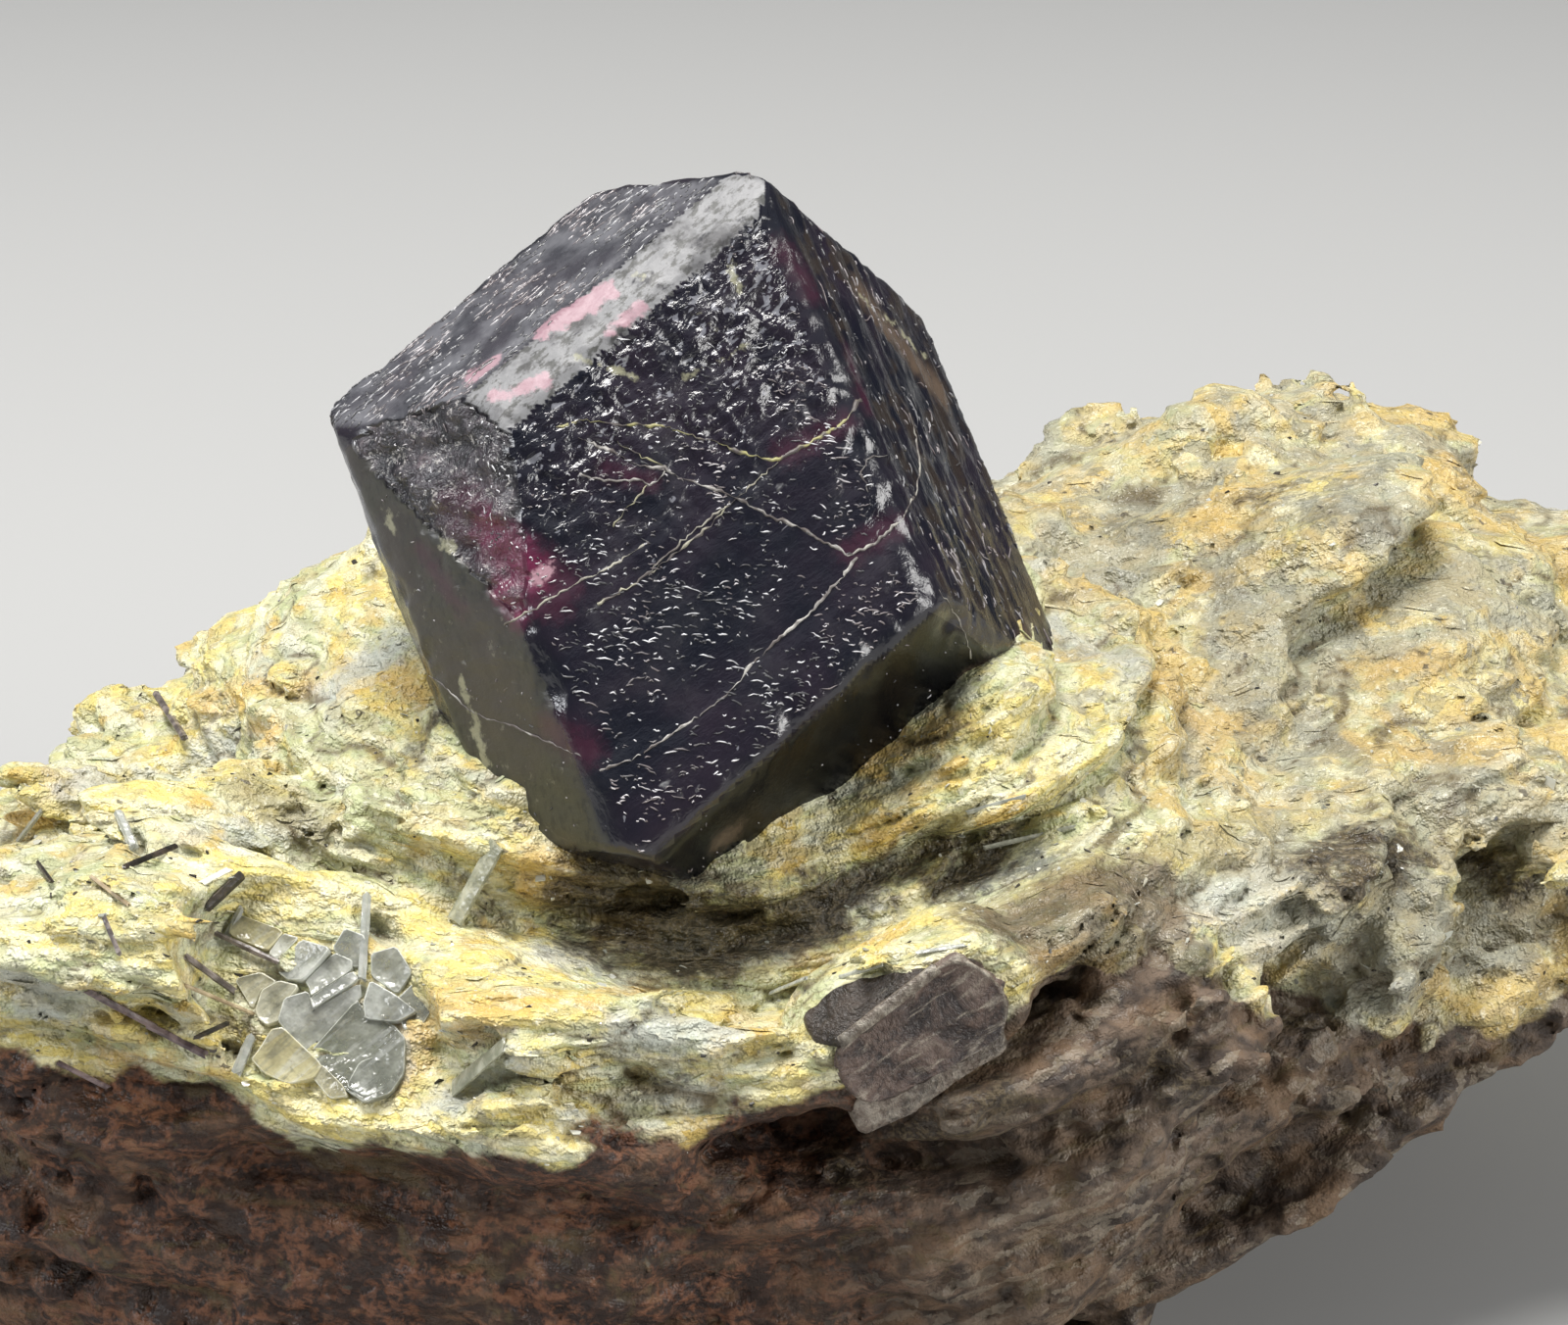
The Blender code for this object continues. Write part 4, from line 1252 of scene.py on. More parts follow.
# Marks on the rock by kind: picture points of both ends and half width in mm
ROCK_MARKS = {
    "ochre": (
        (195, 715, 320, 702, 0.45), (408, 690, 425, 712, 0.45), (540, 885, 575, 905, 0.7),
        (418, 1052, 500, 1030, 0.6), (406, 1095, 425, 1078, 0.4), (1180, 700, 1262, 745, 0.9),
        (1459, 449, 1494, 487, 0.8), (1225, 520, 1240, 545, 0.6), (1400, 682, 1470, 672, 0.6),
        (1440, 770, 1500, 765, 0.7), (885, 775, 960, 740, 0.5), (890, 858, 930, 842, 0.45),
        (830, 978, 900, 958, 0.3), (600, 1022, 660, 1010, 0.3), (20, 830, 70, 800, 0.4),
        (110, 1075, 210, 1095, 0.3), (262, 745, 280, 748, 0.3),
    ),
    "silver": (
        (85, 800, 225, 765, 0.85), (255, 845, 300, 850, 0.6), (340, 700, 400, 660, 0.7),
        (640, 1060, 720, 1045, 0.65), (590, 1138, 715, 1116, 0.35), (458, 1125, 520, 1078, 0.45),
        (560, 972, 600, 985, 0.5), (1080, 640, 1160, 680, 0.7), (1290, 950, 1400, 1000, 1.2),
        (830, 935, 880, 915, 0.6), (340, 1010, 400, 1080, 0.5), (20, 1000, 60, 1030, 0.7),
        (1060, 570, 1140, 590, 0.5), (1180, 930, 1300, 900, 1.0), (1300, 930, 1420, 1010, 1.1),
    ),
    # Partly painted shade in shadowy pockets, partly dark grey mica
    "slate": (
        (1345, 522, 1410, 530, 0.8), (1237, 580, 1262, 612, 0.6), (1345, 755, 1382, 766, 0.6),
        (1285, 725, 1300, 740, 0.5), (1450, 985, 1580, 935, 1.1), (1130, 535, 1170, 545, 0.5),
        (990, 905, 1060, 880, 0.5),
    ),
    # Mostly painted shadow: the garnet's shadow in the hollow below it, the cleft under the book and other
    # hollows; a few are dark crystals
    "dark": (
        (1350, 880, 1430, 862, 0.9), (1500, 870, 1540, 900, 0.5), (1270, 505, 1300, 500, 0.3),
        (612, 918, 720, 955, 1.6), (720, 955, 830, 935, 1.2), (830, 935, 900, 900, 0.6),
        (900, 900, 960, 862, 0.55), (600, 898, 770, 922, 0.55), (770, 922, 860, 900, 0.25),
        (420, 770, 440, 740, 0.35), (960, 905, 1010, 878, 0.7), (1380, 905, 1400, 880, 0.7),
        (865, 1192, 1020, 1118, 0.6), (470, 900, 490, 930, 0.25), (640, 1105, 690, 1100, 0.12),
        (1175, 1080, 1215, 1110, 0.5),
    ),
    # These marks get the lower part's dark painted shade, in shaded places beside and below the garnet and
    # the book
    "lower_shade_tone": (
        (1085, 945, 1200, 985, 1.5), (1040, 945, 1170, 920, 1.5), (905, 1120, 980, 1095, 1.0),
    ),
    # Painted shade, on shaded faces beside the garnet and in a pocket at the left
    "olive": (
        (1010, 930, 1160, 900, 1.5), (1180, 880, 1300, 850, 0.8), (250, 800, 320, 850, 0.7),
    ),
}
# Colours of the pale part's marks: tone and strength; the olive marks are
# painted shade, and the slate marks are partly painted shade and partly dark
# grey mica
ROCK_TINTS = (
    ("ochre", (0.6, 0.38, 0.1), 0.75),
    ("silver", (0.48, 0.5, 0.47), 0.75),
    ("olive", (0.3, 0.26, 0.13), 0.75),
    ("slate", (0.13, 0.135, 0.125), 0.85),
)


def rock_values(points, tree):
    """Numbers that the rock's material reads, for any points on it."""
    x, y, z = points.T
    layer = z - layer_bend(x, y)
    relief, painted_shade = layer_texture(x, y, layer)
    values = {"layer": layer, "lower_shade": lower_shade_share(x, y, z), "painted_shade": painted_shade, "crest": -relief,
              "right": smooth_step(x + 0.5 * y, 5.0, 14.0)}
    for kind, marks in ROCK_MARKS.items():
        values[kind] = mark_reach(tree, points, marks)
    return values


def make_rock(look):
    points, quads = largest_part(*surface_net(*rock_grid()))
    corners = points[quads]
    diagonals = np.cross(corners[:, 2] - corners[:, 0], corners[:, 3] - corners[:, 1])
    areas = np.linalg.norm(diagonals, axis=1) / 2.0
    tree = BVHTree.FromPolygons((points * MM).tolist(), quads.tolist())
    rock = SimpleNamespace(centres=corners.mean(axis=1), normals=normalised(diagonals),
                           areas=areas, tree=tree)
    values = rock_values(points, tree)
    shading = np.zeros(points.shape)
    for corner in range(4):
        np.add.at(shading, quads[:, corner], diagonals)
    shading = normalised(shading)
    upper = rock.centres[:, 2] > LOW_PART_TOP
    behind = upper & (rock.centres[:, 1] > BACK_PART_START)
    right = upper & ~behind & (rock.centres[:, 0] > RIGHT_PART_START)
    parts = {"schist_low": ~upper, "schist_back": behind, "schist_right": right,
             "schist_left": upper & ~behind & ~right}
    for name, chosen in parts.items():
        used, number = np.unique(quads[chosen], return_inverse=True)
        piece = make_piece(name, points[used], (number.reshape(-1, 4),), [look], ["schist"])
        piece.data.normals_split_custom_set_from_vertices(shading[used].tolist())
        set_values(piece, **{kind: numbers[used] for kind, numbers in values.items()})
    return rock


def rock_look():
    look = Look("mica_schist", IOR=1.5)
    place = look.place()
    x, y, z = look.split(place)
    layer, lower_shade, crest, right = (look.value(kind) for kind in ("layer", "lower_shade", "crest", "right"))
    bands = look.grain((x, y, layer), (0.3, 0.3, 1.2), 2.0, 0.6, 0.4)
    streaks = look.grain((x, y, layer), (0.9, 1.0, 1.8), 2.0, 0.62, 0.5)
    fibres = look.grain((x, y, layer), (1.7, 1.9, 3.6), 2.0, 0.64, 0.4)
    clouds = look.noise(place, 0.5, 2.0, 0.62)
    grains = look.noise(place, 4.0, 2.0, 0.7)
    sway = (grains - 0.5) * 0.35
    lenses = look.crystals(look.join(x, y, layer + sway, (1.2, 1.4, 4.2)))
    drift = (look.noise(place, 1.6, 2.0, 0.6) - 0.5) * 1.2
    lumps = look.crystals(look.join(x + drift, y + sway, z - drift, (1.4, 1.4, 1.9)))
    far, tint, other = (first + right * (second - first) for first, second in zip(lenses, lumps))
    rise = crest * 0.35 + bands + (fibres - 0.5) * 0.4
    golden = clouds + crest * 0.15 + right * 0.08
    colour = look.mix(rise.ramp(0.42, 0.66), (0.48, 0.51, 0.28), (0.72, 0.6, 0.2))
    pale = look.grain((x, y, layer), (0.42, 0.42, 1.0), 2.0, 0.5, 0.4)
    shade = look.noise(place, 0.75, 3.0, 0.7, 0.4) + right * 0.08
    colour = look.coats(colour, (
        (streaks.ramp(0.46, 0.7, 0.0, 0.7), (0.8, 0.79, 0.55)),
        (golden.ramp(0.56, 0.7, 0.0, 0.75), (0.62, 0.41, 0.1)),
        ((pale - crest * 0.15).ramp(0.54, 0.68, 0.0, 0.6), (0.55, 0.57, 0.5)),
        (tint.ramp(0.6, 0.75, 0.0, 0.45), (0.82, 0.8, 0.62)),
        (tint.ramp(0.1, 0.3, 0.4, 0.0), (0.38, 0.37, 0.24)),
        (other.ramp(0.55, 0.8) * (right * 0.3 + 0.15), (0.62, 0.43, 0.13)),
        (shade.ramp(0.6, 0.7, 0.0, 0.7), (0.26, 0.25, 0.19)),
    ))
    ragged = (look.noise(place, 1.5, 3.0, 0.7) - 0.5) * 2.6
    for kind, tone, amount in ROCK_TINTS:
        reach = look.value(kind) + ragged
        colour = look.mix(reach.ramp(-0.5, 0.5, amount, 0.0), colour, tone)
    patches = look.noise(place, 0.24, 2.0, 0.6, 0.6)
    colour = look.coats(colour, (
        (other.ramp(0.05, 0.12, 0.7, 0.0) * right, (0.15, 0.15, 0.13)),
        (right * 0.34, (0.38, 0.33, 0.2)),
        (right * patches.ramp(0.5, 0.6, 0.0, 0.65), (0.31, 0.31, 0.25)),
        (right * patches.ramp(0.38, 0.46, 0.5, 0.0), (0.62, 0.42, 0.12)),
        (fibres.ramp(0.3, 0.46, 0.2, 0.0), (0.34, 0.29, 0.14)),
        (far.ramp(0.5, 0.85, 0.0, 0.25), (0.27, 0.22, 0.1)),
        (grains.ramp(0.56, 0.74, 0.0, 0.5), (0.87, 0.85, 0.68)),
    ))
    # The lower part's colour is painted shade: dark and reddish at the left, greyer at the right, with
    # darker painted shade in stripes and patches; the same tone goes on the marks in shaded places below
    # and beside the garnet and the book
    blots = look.grain((x, y, z), (1.0, 1.0, 1.5), 2.0, 0.66, 0.3)
    crumbs = grains + (blots - 0.5) * 0.9
    lower_shade_tone = look.mix(crumbs.ramp(0.36, 0.68), (0.022, 0.01, 0.006), (0.17, 0.07, 0.034))
    lower_shade_tone = look.coats(lower_shade_tone, (
        (clouds.ramp(0.5, 0.68, 0.0, 0.5), (0.15, 0.09, 0.05)),
        (streaks.ramp(0.36, 0.5, 0.75, 0.0), (0.03, 0.014, 0.008)),
        (shade.ramp(0.52, 0.6, 0.0, 0.7), (0.022, 0.01, 0.006)),
        (blots.ramp(0.6, 0.7, 0.0, 0.35), (0.25, 0.14, 0.07)),
    ))
    grey_lower_shade_tone = look.mix(blots.ramp(0.36, 0.64), (0.035, 0.023, 0.016), (0.15, 0.105, 0.072))
    grey_lower_shade_tone = look.coats(grey_lower_shade_tone, (
        (clouds.ramp(0.46, 0.66, 0.0, 0.6), (0.17, 0.1, 0.05)),
        (shade.ramp(0.54, 0.66, 0.0, 0.6), (0.04, 0.03, 0.024)),
        (tint.ramp(0.7, 0.85, 0.0, 0.4), (0.3, 0.25, 0.18)),
    ))
    lower_shade_tone = look.mix(x.ramp(-1.0, 6.0), lower_shade_tone, grey_lower_shade_tone)
    lower_shade_part = (lower_shade + ragged * 0.3).ramp(0.3, 0.7)
    patch = (look.value("lower_shade_tone") + ragged).ramp(-0.6, 0.6, 0.75, 0.0)
    dark = look.value("dark") + ragged
    # Colour of the dark marks, mostly painted shadow
    shadow_tone = look.mix(grains.ramp(0.44, 0.62), (0.035, 0.024, 0.014), (0.12, 0.09, 0.05))
    colour = look.coats(colour, (
        (lower_shade_part.larger(patch), lower_shade_tone),
        # Painted shade in the clefts between the rolls
        (look.value("painted_shade").ramp(0.3, 1.2, 0.0, 0.8), (0.1, 0.07, 0.03)),
        (dark.ramp(-0.5, 0.6, 0.93, 0.0), shadow_tone),
        (far.ramp(0.14, 0.24, 0.8, 0.0) * other.ramp(0.9, 0.92), (0.07, 0.06, 0.045)),
    ))
    height = fibres * 0.5 + grains * 0.75 - lenses[0] * 0.22 + lenses[1] * 0.2
    return look.finished(Base_Color=colour, Roughness=tint.ramp(0.3, 0.8, 0.55, 0.3) + lower_shade * 0.2,
                         Normal=look.bump(height * lower_shade.ramp(0.0, 1.0, 1.0, 0.55), 0.34))


# Slivers, flakes and specks on the rock

FLAKE_CORNERS = 6


def layer_frame(points):
    """Direction along the layers, and away from them, at points of the rock."""
    x, y = points[:, 0], points[:, 1]
    step = 0.05
    slope_x = (layer_bend(x + step, y) - layer_bend(x - step, y)) / (2.0 * step)
    slope_y = (layer_bend(x, y + step) - layer_bend(x, y - step)) / (2.0 * step)
    outward = normalised(np.stack((-slope_x, -slope_y, np.ones(len(x))), axis=1))
    along = normalised(np.stack((np.ones(len(x)), np.zeros(len(x)), slope_x), axis=1))
    return along, outward


def rock_samples(rock, count, random):
    """Random places on the rock with their outward directions."""
    weight = rock.areas * upper_chance(rock.centres)
    picked = random.choice(len(weight), size=count, p=weight / weight.sum())
    jitter = random.uniform(-0.5, 0.5, (count, 3)) * np.sqrt(rock.areas[picked])[:, None]
    jitter -= (jitter * rock.normals[picked]).sum(axis=1)[:, None] * rock.normals[picked]
    return rock.centres[picked] + jitter, rock.normals[picked]


def onto_rock(tree, points):
    moved = points.reshape(-1, 3).copy()
    for number, point in enumerate(moved):
        found = tree.find_nearest(Vector(point * MM))[0]
        moved[number] = np.array(found) / MM
    return moved.reshape(points.shape)


def upper_chance(centres):
    """Splinters lie on the pale upper part, most densely at the front."""
    x, y, z = centres.T
    share = (1.0 - lower_shade_share(x, y, z)) * smooth_step(z, 1.0, 4.0)
    front = 0.35 + 0.65 * smooth_step(-y, -6.0, 2.0)
    hidden = np.linalg.norm(centres - GARNET_CENTRE, axis=1) < 6.5
    at_end = (np.abs(x) > 28.0) | (y > 25.5)
    return share * front * ~(hidden | at_end) + 1e-12


def make_slivers(name, count, seed, length, width, rock, look):
    """Splinters of mica that lie along the layers."""
    random = np.random.default_rng(seed)
    centres, normals = rock_samples(rock, count, random)
    along, outward = layer_frame(centres)
    turn = random.normal(0.0, 0.28, count)[:, None]
    across = np.cross(outward, along)
    along = np.cos(turn) * along + np.sin(turn) * across
    along = normalised(along - (along * normals).sum(axis=1)[:, None] * normals)
    up = normalised(normals - (normals * along).sum(axis=1)[:, None] * along)
    side = np.cross(along, up)
    size = random.gamma(3.0, 0.33, count)
    reach = np.array((-1.0, -0.45, 0.4, 1.0))[None, :] * (length * size / 2.0)[:, None]
    paths = centres[:, None, :] + along[:, None, :] * reach[..., None]
    paths = onto_rock(rock.tree, paths)
    wave = random.normal(0.0, 0.12, (count, 4)) * width
    lift = random.uniform(0.0, 0.05, (count, 1, 1))
    paths = paths + side[:, None, :] * wave[..., None] + normals[:, None, :] * lift
    widths = width * random.uniform(0.3, 1.3, (count, 1)) * random.uniform(0.7, 1.2, (count, 2))
    heights = widths * random.uniform(0.25, 0.7, (count, 1))
    points, faces = spindles(paths, side, up, widths, heights)
    piece = make_piece(name, points, faces, [look], smooth=False)
    values = rock_values(centres, rock.tree)
    # Each sliver gets a random small amount of painted shade
    values["painted_shade"] = random.uniform(-0.5, 0.5, count)
    values["crest"] = values["crest"] + random.normal(0.0, 0.2, count)
    each = len(points) // count
    set_values(piece, **{kind: np.repeat(numbers, each) for kind, numbers in values.items()})


def make_flakes(name, count, seed, size, thickness, tilt, rock, look, stretch=1.0):
    """Thin plates with uneven corners, nearly along the layers."""
    random = np.random.default_rng(seed)
    centres, normals = rock_samples(rock, count, random)
    along, outward = layer_frame(centres)
    up = normalised(outward + random.normal(0.0, tilt, (count, 3)))
    along = normalised(along - (along * up).sum(axis=1)[:, None] * up)
    side = np.cross(up, along)
    scale = size * random.gamma(3.0, 0.33, count)
    ring = np.arange(FLAKE_CORNERS)
    turns = (ring + random.uniform(-0.35, 0.35, (count, FLAKE_CORNERS))) / FLAKE_CORNERS * 2.0 * math.pi
    reach = scale[:, None] / 2.0 * random.uniform(0.7, 1.15, (count, FLAKE_CORNERS))
    rim = (along[:, None, :] * (np.cos(turns) * reach * stretch)[..., None]
           + side[:, None, :] * (np.sin(turns) * reach)[..., None])
    lift = random.uniform(-0.3, 0.1, (count, 1, 1))
    middle = centres[:, None, :] + normals[:, None, :] * lift * scale[:, None, None] * 0.4
    half = up[:, None, :] * (thickness * random.uniform(0.5, 1.5, (count, 1, 1)))
    points = np.concatenate((middle + rim - half, middle + rim + half), axis=1).reshape(-1, 3)
    shift = (np.arange(count) * 2 * FLAKE_CORNERS)[:, None, None]
    after = (ring + 1) % FLAKE_CORNERS
    sides = np.stack((ring, after, after + FLAKE_CORNERS, ring + FLAKE_CORNERS), axis=1)
    caps = np.stack((ring[::-1], ring + FLAKE_CORNERS))
    faces = [(sides + shift).reshape(-1, 4), (caps + shift).reshape(-1, FLAKE_CORNERS)]
    piece = make_piece(name, points, faces, [look], smooth=False)
    set_values(piece, shade=np.repeat(random.random(count), 2 * FLAKE_CORNERS))


def flake_look():
    look = Look("silver_mica", Roughness=0.22, IOR=1.6, Specular_IOR_Level=0.8)
    place = look.place()
    colour = look.mix(look.value("shade"), (0.3, 0.31, 0.27), (0.66, 0.66, 0.58))
    colour = look.mix(look.noise(place, 1.2, 3.0).ramp(0.5, 0.7, 0.0, 0.6), colour, (0.55, 0.45, 0.22))
    return look.finished(Base_Color=colour, Normal=look.bump(look.noise(place, 3.0, 2.0), 0.04))


def speck_look():
    look = Look("dark_specks", Roughness=0.35)
    return look.finished(Base_Color=look.mix(look.value("shade"), (0.012, 0.011, 0.01), (0.07, 0.06, 0.05)))


# Mica crystals

# Place and turn of the stacks, as in the solids, and heights of their tops
BOOK_PLACE = np.array((3.4, -12.0, 13.6))
BOOK_TURN = (88.0, -27.0, 13.0)
PLATES_PLACE = np.array((-11.9, -10.7, 13.6))
PLATES_TURN = (42.0, -30.0, 22.0)
PLATES_TOP = 0.8
PLATE_THICKNESS = 1.3
# Rings of a plate's edge: step inwards, depth, and how pale the painted highlight on the rim is
PLATE_EDGE = ((0.0, 0.04, 0.6), (0.015, 0.01, 1.0), (0.035, 0.0, 0.7), (0.06, 0.008, 0.0))
BOOK_TOP = 1.45
BOOK_LAYERS = 9
# Rings of the book's upper face: size, height and wear
BOOK_FACE = (
    (0.995, -0.02, 0.9), (0.975, 0.03, 0.9), (0.955, 0.01, 0.5), (0.92, -0.05, 0.1), (0.74, -0.07, 0.0),
    (0.6, -0.07, 0.0), (0.45, -0.08, 0.0), (0.3, -0.08, 0.0), (0.15, -0.08, 0.0),
)
# Rings of a loose sheet: size and depth, as a share of its thickness, on its
# uneven side, then size and height on its top
SHEET_SIDE = ((1.0, -0.5), (0.97, -0.4), (1.0, -0.25))
SHEET_TOP = ((0.96, -0.08), (0.9, 0.0), (0.7, 0.02), (0.45, 0.0), (0.2, 0.02))
# Noises of the book's face and the loose sheets' tops and edges
BOOK_LUMPS = ((0.8, 0.8, 1.0, 83), (0.3, 0.3, 0.5, 84))
SHEET_LUMPS = ((0.6, 0.6, 1.0, 87), (0.25, 0.25, 0.6, 88))
SHEET_EDGE = ((0.4, 0.4, 0.06, 86),)
# Points further apart than this get others between them
RIM_SPACING = 0.12
# Flat beds that the stacks lie in: place, turn, height along the stack's
# axis, picture points of both ends and reach round them
BEDS = (
    (PLATES_PLACE, PLATES_TURN, 0.72, ((290, 985), (368, 1070)), 1.9),
    (BOOK_PLACE, BOOK_TURN, 1.0, ((892, 1082), (996, 1022)), 1.35),
)
# Clear plates: picture points of the rim, height above the others, yellowness
PLATES = (
    (((283, 989), (306, 958), (336, 969), (327, 981), (309, 999), (293, 998)), 0.3, 0.0),
    (((274, 972), (289, 952), (304, 957), (283, 980)), 0.12, 0.3),
    (((312, 1001), (341, 972), (358, 980), (358, 989), (318, 1016), (316, 1007)), 0.08, 0.2),
    (((318, 1018), (358, 990), (364, 998), (321, 1030)), 0.2, 0.1),
    (((286, 1042), (293, 1021), (315, 1013), (319, 1031), (364, 1003), (365, 1016), (315, 1071),
      (298, 1058)), 0.26, 0.15),
    (((261, 1030), (267, 1010), (284, 1001), (303, 1006), (292, 1022), (284, 1041), (272, 1045),
      (264, 1039)), 0.34, 0.5),
    (((318, 1074), (364, 1021), (373, 1035), (401, 1047), (412, 1060), (411, 1095), (398, 1114),
      (373, 1123), (350, 1108)), 0.14, -0.9),
    (((355, 1108), (367, 1084), (388, 1075), (405, 1080), (406, 1097), (394, 1110),
      (373, 1119)), 0.2, -0.7),
    (((379, 995), (379, 973), (404, 966), (420, 992), (405, 1013)), 0.1, -0.6),
    (((378, 1001), (404, 1016), (424, 1032), (404, 1042), (373, 1038), (371, 1022)), 0.3, -0.4),
    (((258, 1081), (266, 1071), (278, 1052), (289, 1050), (326, 1085), (318, 1097), (293, 1104),
      (270, 1094)), 0.45, 1.0),
    (((234, 953), (238, 931), (289, 950), (272, 970)), 0.1, 0.9),
    (((240, 999), (266, 992), (281, 1001), (266, 1010), (258, 1030)), 0.1, 0.6),
    (((318, 1098), (328, 1086), (350, 1108), (354, 1118), (336, 1120)), 0.2, 0.6),
    (((340, 968), (352, 948), (372, 955), (372, 985), (358, 985)), 0.02, -0.5),
    (((405, 1020), (425, 1000), (440, 1030), (428, 1050), (412, 1050)), 0.05, -0.6),
)
# Book of dark mica: picture points of the rim of its face, of the sheets that
# show below the face and of the side that faces up
BOOK_RIM = (
    (955, 988), (975, 978), (1000, 985), (1024, 1008), (1030, 1035), (1022, 1060), (975, 1088),
    (915, 1118), (885, 1128), (864, 1112), (853, 1088), (857, 1066),
)
BOOK_STEP = (
    (1026, 1042), (1032, 1070), (978, 1104), (930, 1138), (886, 1160), (868, 1142), (880, 1118),
    (915, 1108), (975, 1078), (1014, 1052),
)
BOOK_SIDE = ((813, 1036), (858, 1003), (927, 985), (957, 987), (906, 1028), (857, 1068), (832, 1062))
ROD_SIDES = 6
ROD_RINGS = 6
# Needles and rods: picture points of both ends, half width and half
# thickness in mm, and which look they have
RODS = (
    ((210, 926), (246, 892), 0.17, 0.06, "dark"),
    ((221, 953), (283, 982), 0.08, 0.07, "grey_brown"),
    ((188, 976), (238, 1012), 0.09, 0.07, "grey_brown"),
    ((188, 1006), (257, 1035), 0.06, 0.05, "tan"),
    ((201, 1060), (234, 1045), 0.07, 0.05, "dark"),
    ((373, 916), (368, 1001), 0.13, 0.12, "clear"),
    ((91, 1011), (160, 1048), 0.1, 0.08, "purple"),
    ((150, 1043), (210, 1074), 0.11, 0.08, "purple"),
    ((162, 718), (191, 763), 0.11, 0.09, "grey_brown"),
    ((119, 834), (135, 870), 0.13, 0.12, "clear"),
    ((20, 858), (43, 829), 0.1, 0.08, "clear"),
    ((42, 884), (56, 903), 0.07, 0.06, "dark"),
    ((94, 896), (131, 924), 0.06, 0.05, "tan"),
    ((107, 939), (123, 977), 0.07, 0.06, "grey_brown"),
    ((126, 886), (180, 864), 0.09, 0.04, "dark"),
    ((232, 954), (246, 927), 0.1, 0.1, "clear"),
    ((464, 942), (507, 864), 0.27, 0.1, "glassy"),
    ((242, 1096), (258, 1058), 0.14, 0.12, "clear"),
    ((463, 1112), (516, 1066), 0.24, 0.06, "glassy"),
    # A silvery flake, made near white partly as a painted glint
    ((207, 902), (234, 888), 0.1, 0.04, "pale"),
    ((986, 828), (1045, 812), 0.08, 0.03, "silver"),
    ((1003, 862), (1093, 841), 0.08, 0.03, "silver"),
    ((60, 1085), (110, 1110), 0.08, 0.06, "purple"),
    ((794, 1019), (830, 1004), 0.07, 0.04, "silver"),
    ((858, 997), (902, 984), 0.06, 0.04, "silver"),
    ((935, 974), (985, 966), 0.07, 0.04, "silver"),
)
# Looks of the loose pieces: name, dark and light colour, roughness and clearness
MICAS = {
    "dark": ("dark_rod", (0.01, 0.009, 0.008), (0.06, 0.045, 0.035), 0.3),
    "grey_brown": ("grey_brown_rod", (0.07, 0.055, 0.05), (0.26, 0.22, 0.2), 0.35),
    "tan": ("tan_rod", (0.25, 0.18, 0.1), (0.5, 0.4, 0.25), 0.5),
    "purple": ("purple_rod", (0.06, 0.036, 0.04), (0.24, 0.175, 0.17), 0.35),
    "clear": ("clear_rod", (0.5, 0.52, 0.48), (0.75, 0.76, 0.7), 0.18, 0.55),
    "glassy": ("glassy_blade", (0.28, 0.29, 0.21), (0.58, 0.58, 0.46), 0.25, 0.2),
    "silver": ("silver_sheet", (0.3, 0.31, 0.27), (0.56, 0.57, 0.5), 0.25),
    "pale": ("pale_sheet", (0.6, 0.6, 0.5), (0.85, 0.84, 0.74), 0.2),
}


def rounded_rim(rim, times=1, share=0.1):
    """Cut the corners of a closed outline."""
    for _ in range(times):
        after = np.roll(rim, -1, axis=0)
        rim = np.stack(((1.0 - share) * rim + share * after, share * rim + (1.0 - share) * after),
                       axis=1).reshape(-1, rim.shape[1])
    return rim


def on_plane(places, point, normal):
    """Points of a plane seen at picture points."""
    rays = np.array([view_ray(*place) for place in places])
    return VIEW_POINT + rays * (((point - VIEW_POINT) @ normal) / (rays @ normal))[:, None]


def stacked(rings):
    """Points and faces of a body through rings of equal length, with fans."""
    count = len(rings[0])
    points = np.concatenate(list(rings) + [rings[0].mean(axis=0)[None], rings[-1].mean(axis=0)[None]])
    index = np.arange(count)
    after = (index + 1) % count
    quads = [np.stack((index, after, after + count, index + count), axis=1) + level * count
             for level in range(len(rings) - 1)]
    first, last = len(points) - 2, len(points) - 1
    top = (len(rings) - 1) * count
    fans = [np.stack((after, index, np.full(count, first)), axis=1),
            np.stack((index + top, after + top, np.full(count, last)), axis=1)]
    quads, fans = np.concatenate(quads), np.concatenate(fans)
    corners = np.concatenate((quads[:, :3], fans))
    first, second, third = (points[corners[:, n]] - points[0] for n in range(3))
    if (first * np.cross(second, third)).sum() < 0.0:
        quads, fans = quads[:, ::-1], fans[:, ::-1]
    return points, quads, fans


def join_bodies(bodies):
    """Points and faces of several bodies as one mesh."""
    points, quads, triangles, total = [], [], [], 0
    for body_points, body_quads, body_triangles in bodies:
        points.append(body_points)
        quads.append(body_quads + total)
        triangles.append(body_triangles + total)
        total += len(body_points)
    return np.concatenate(points), (np.concatenate(quads), np.concatenate(triangles))


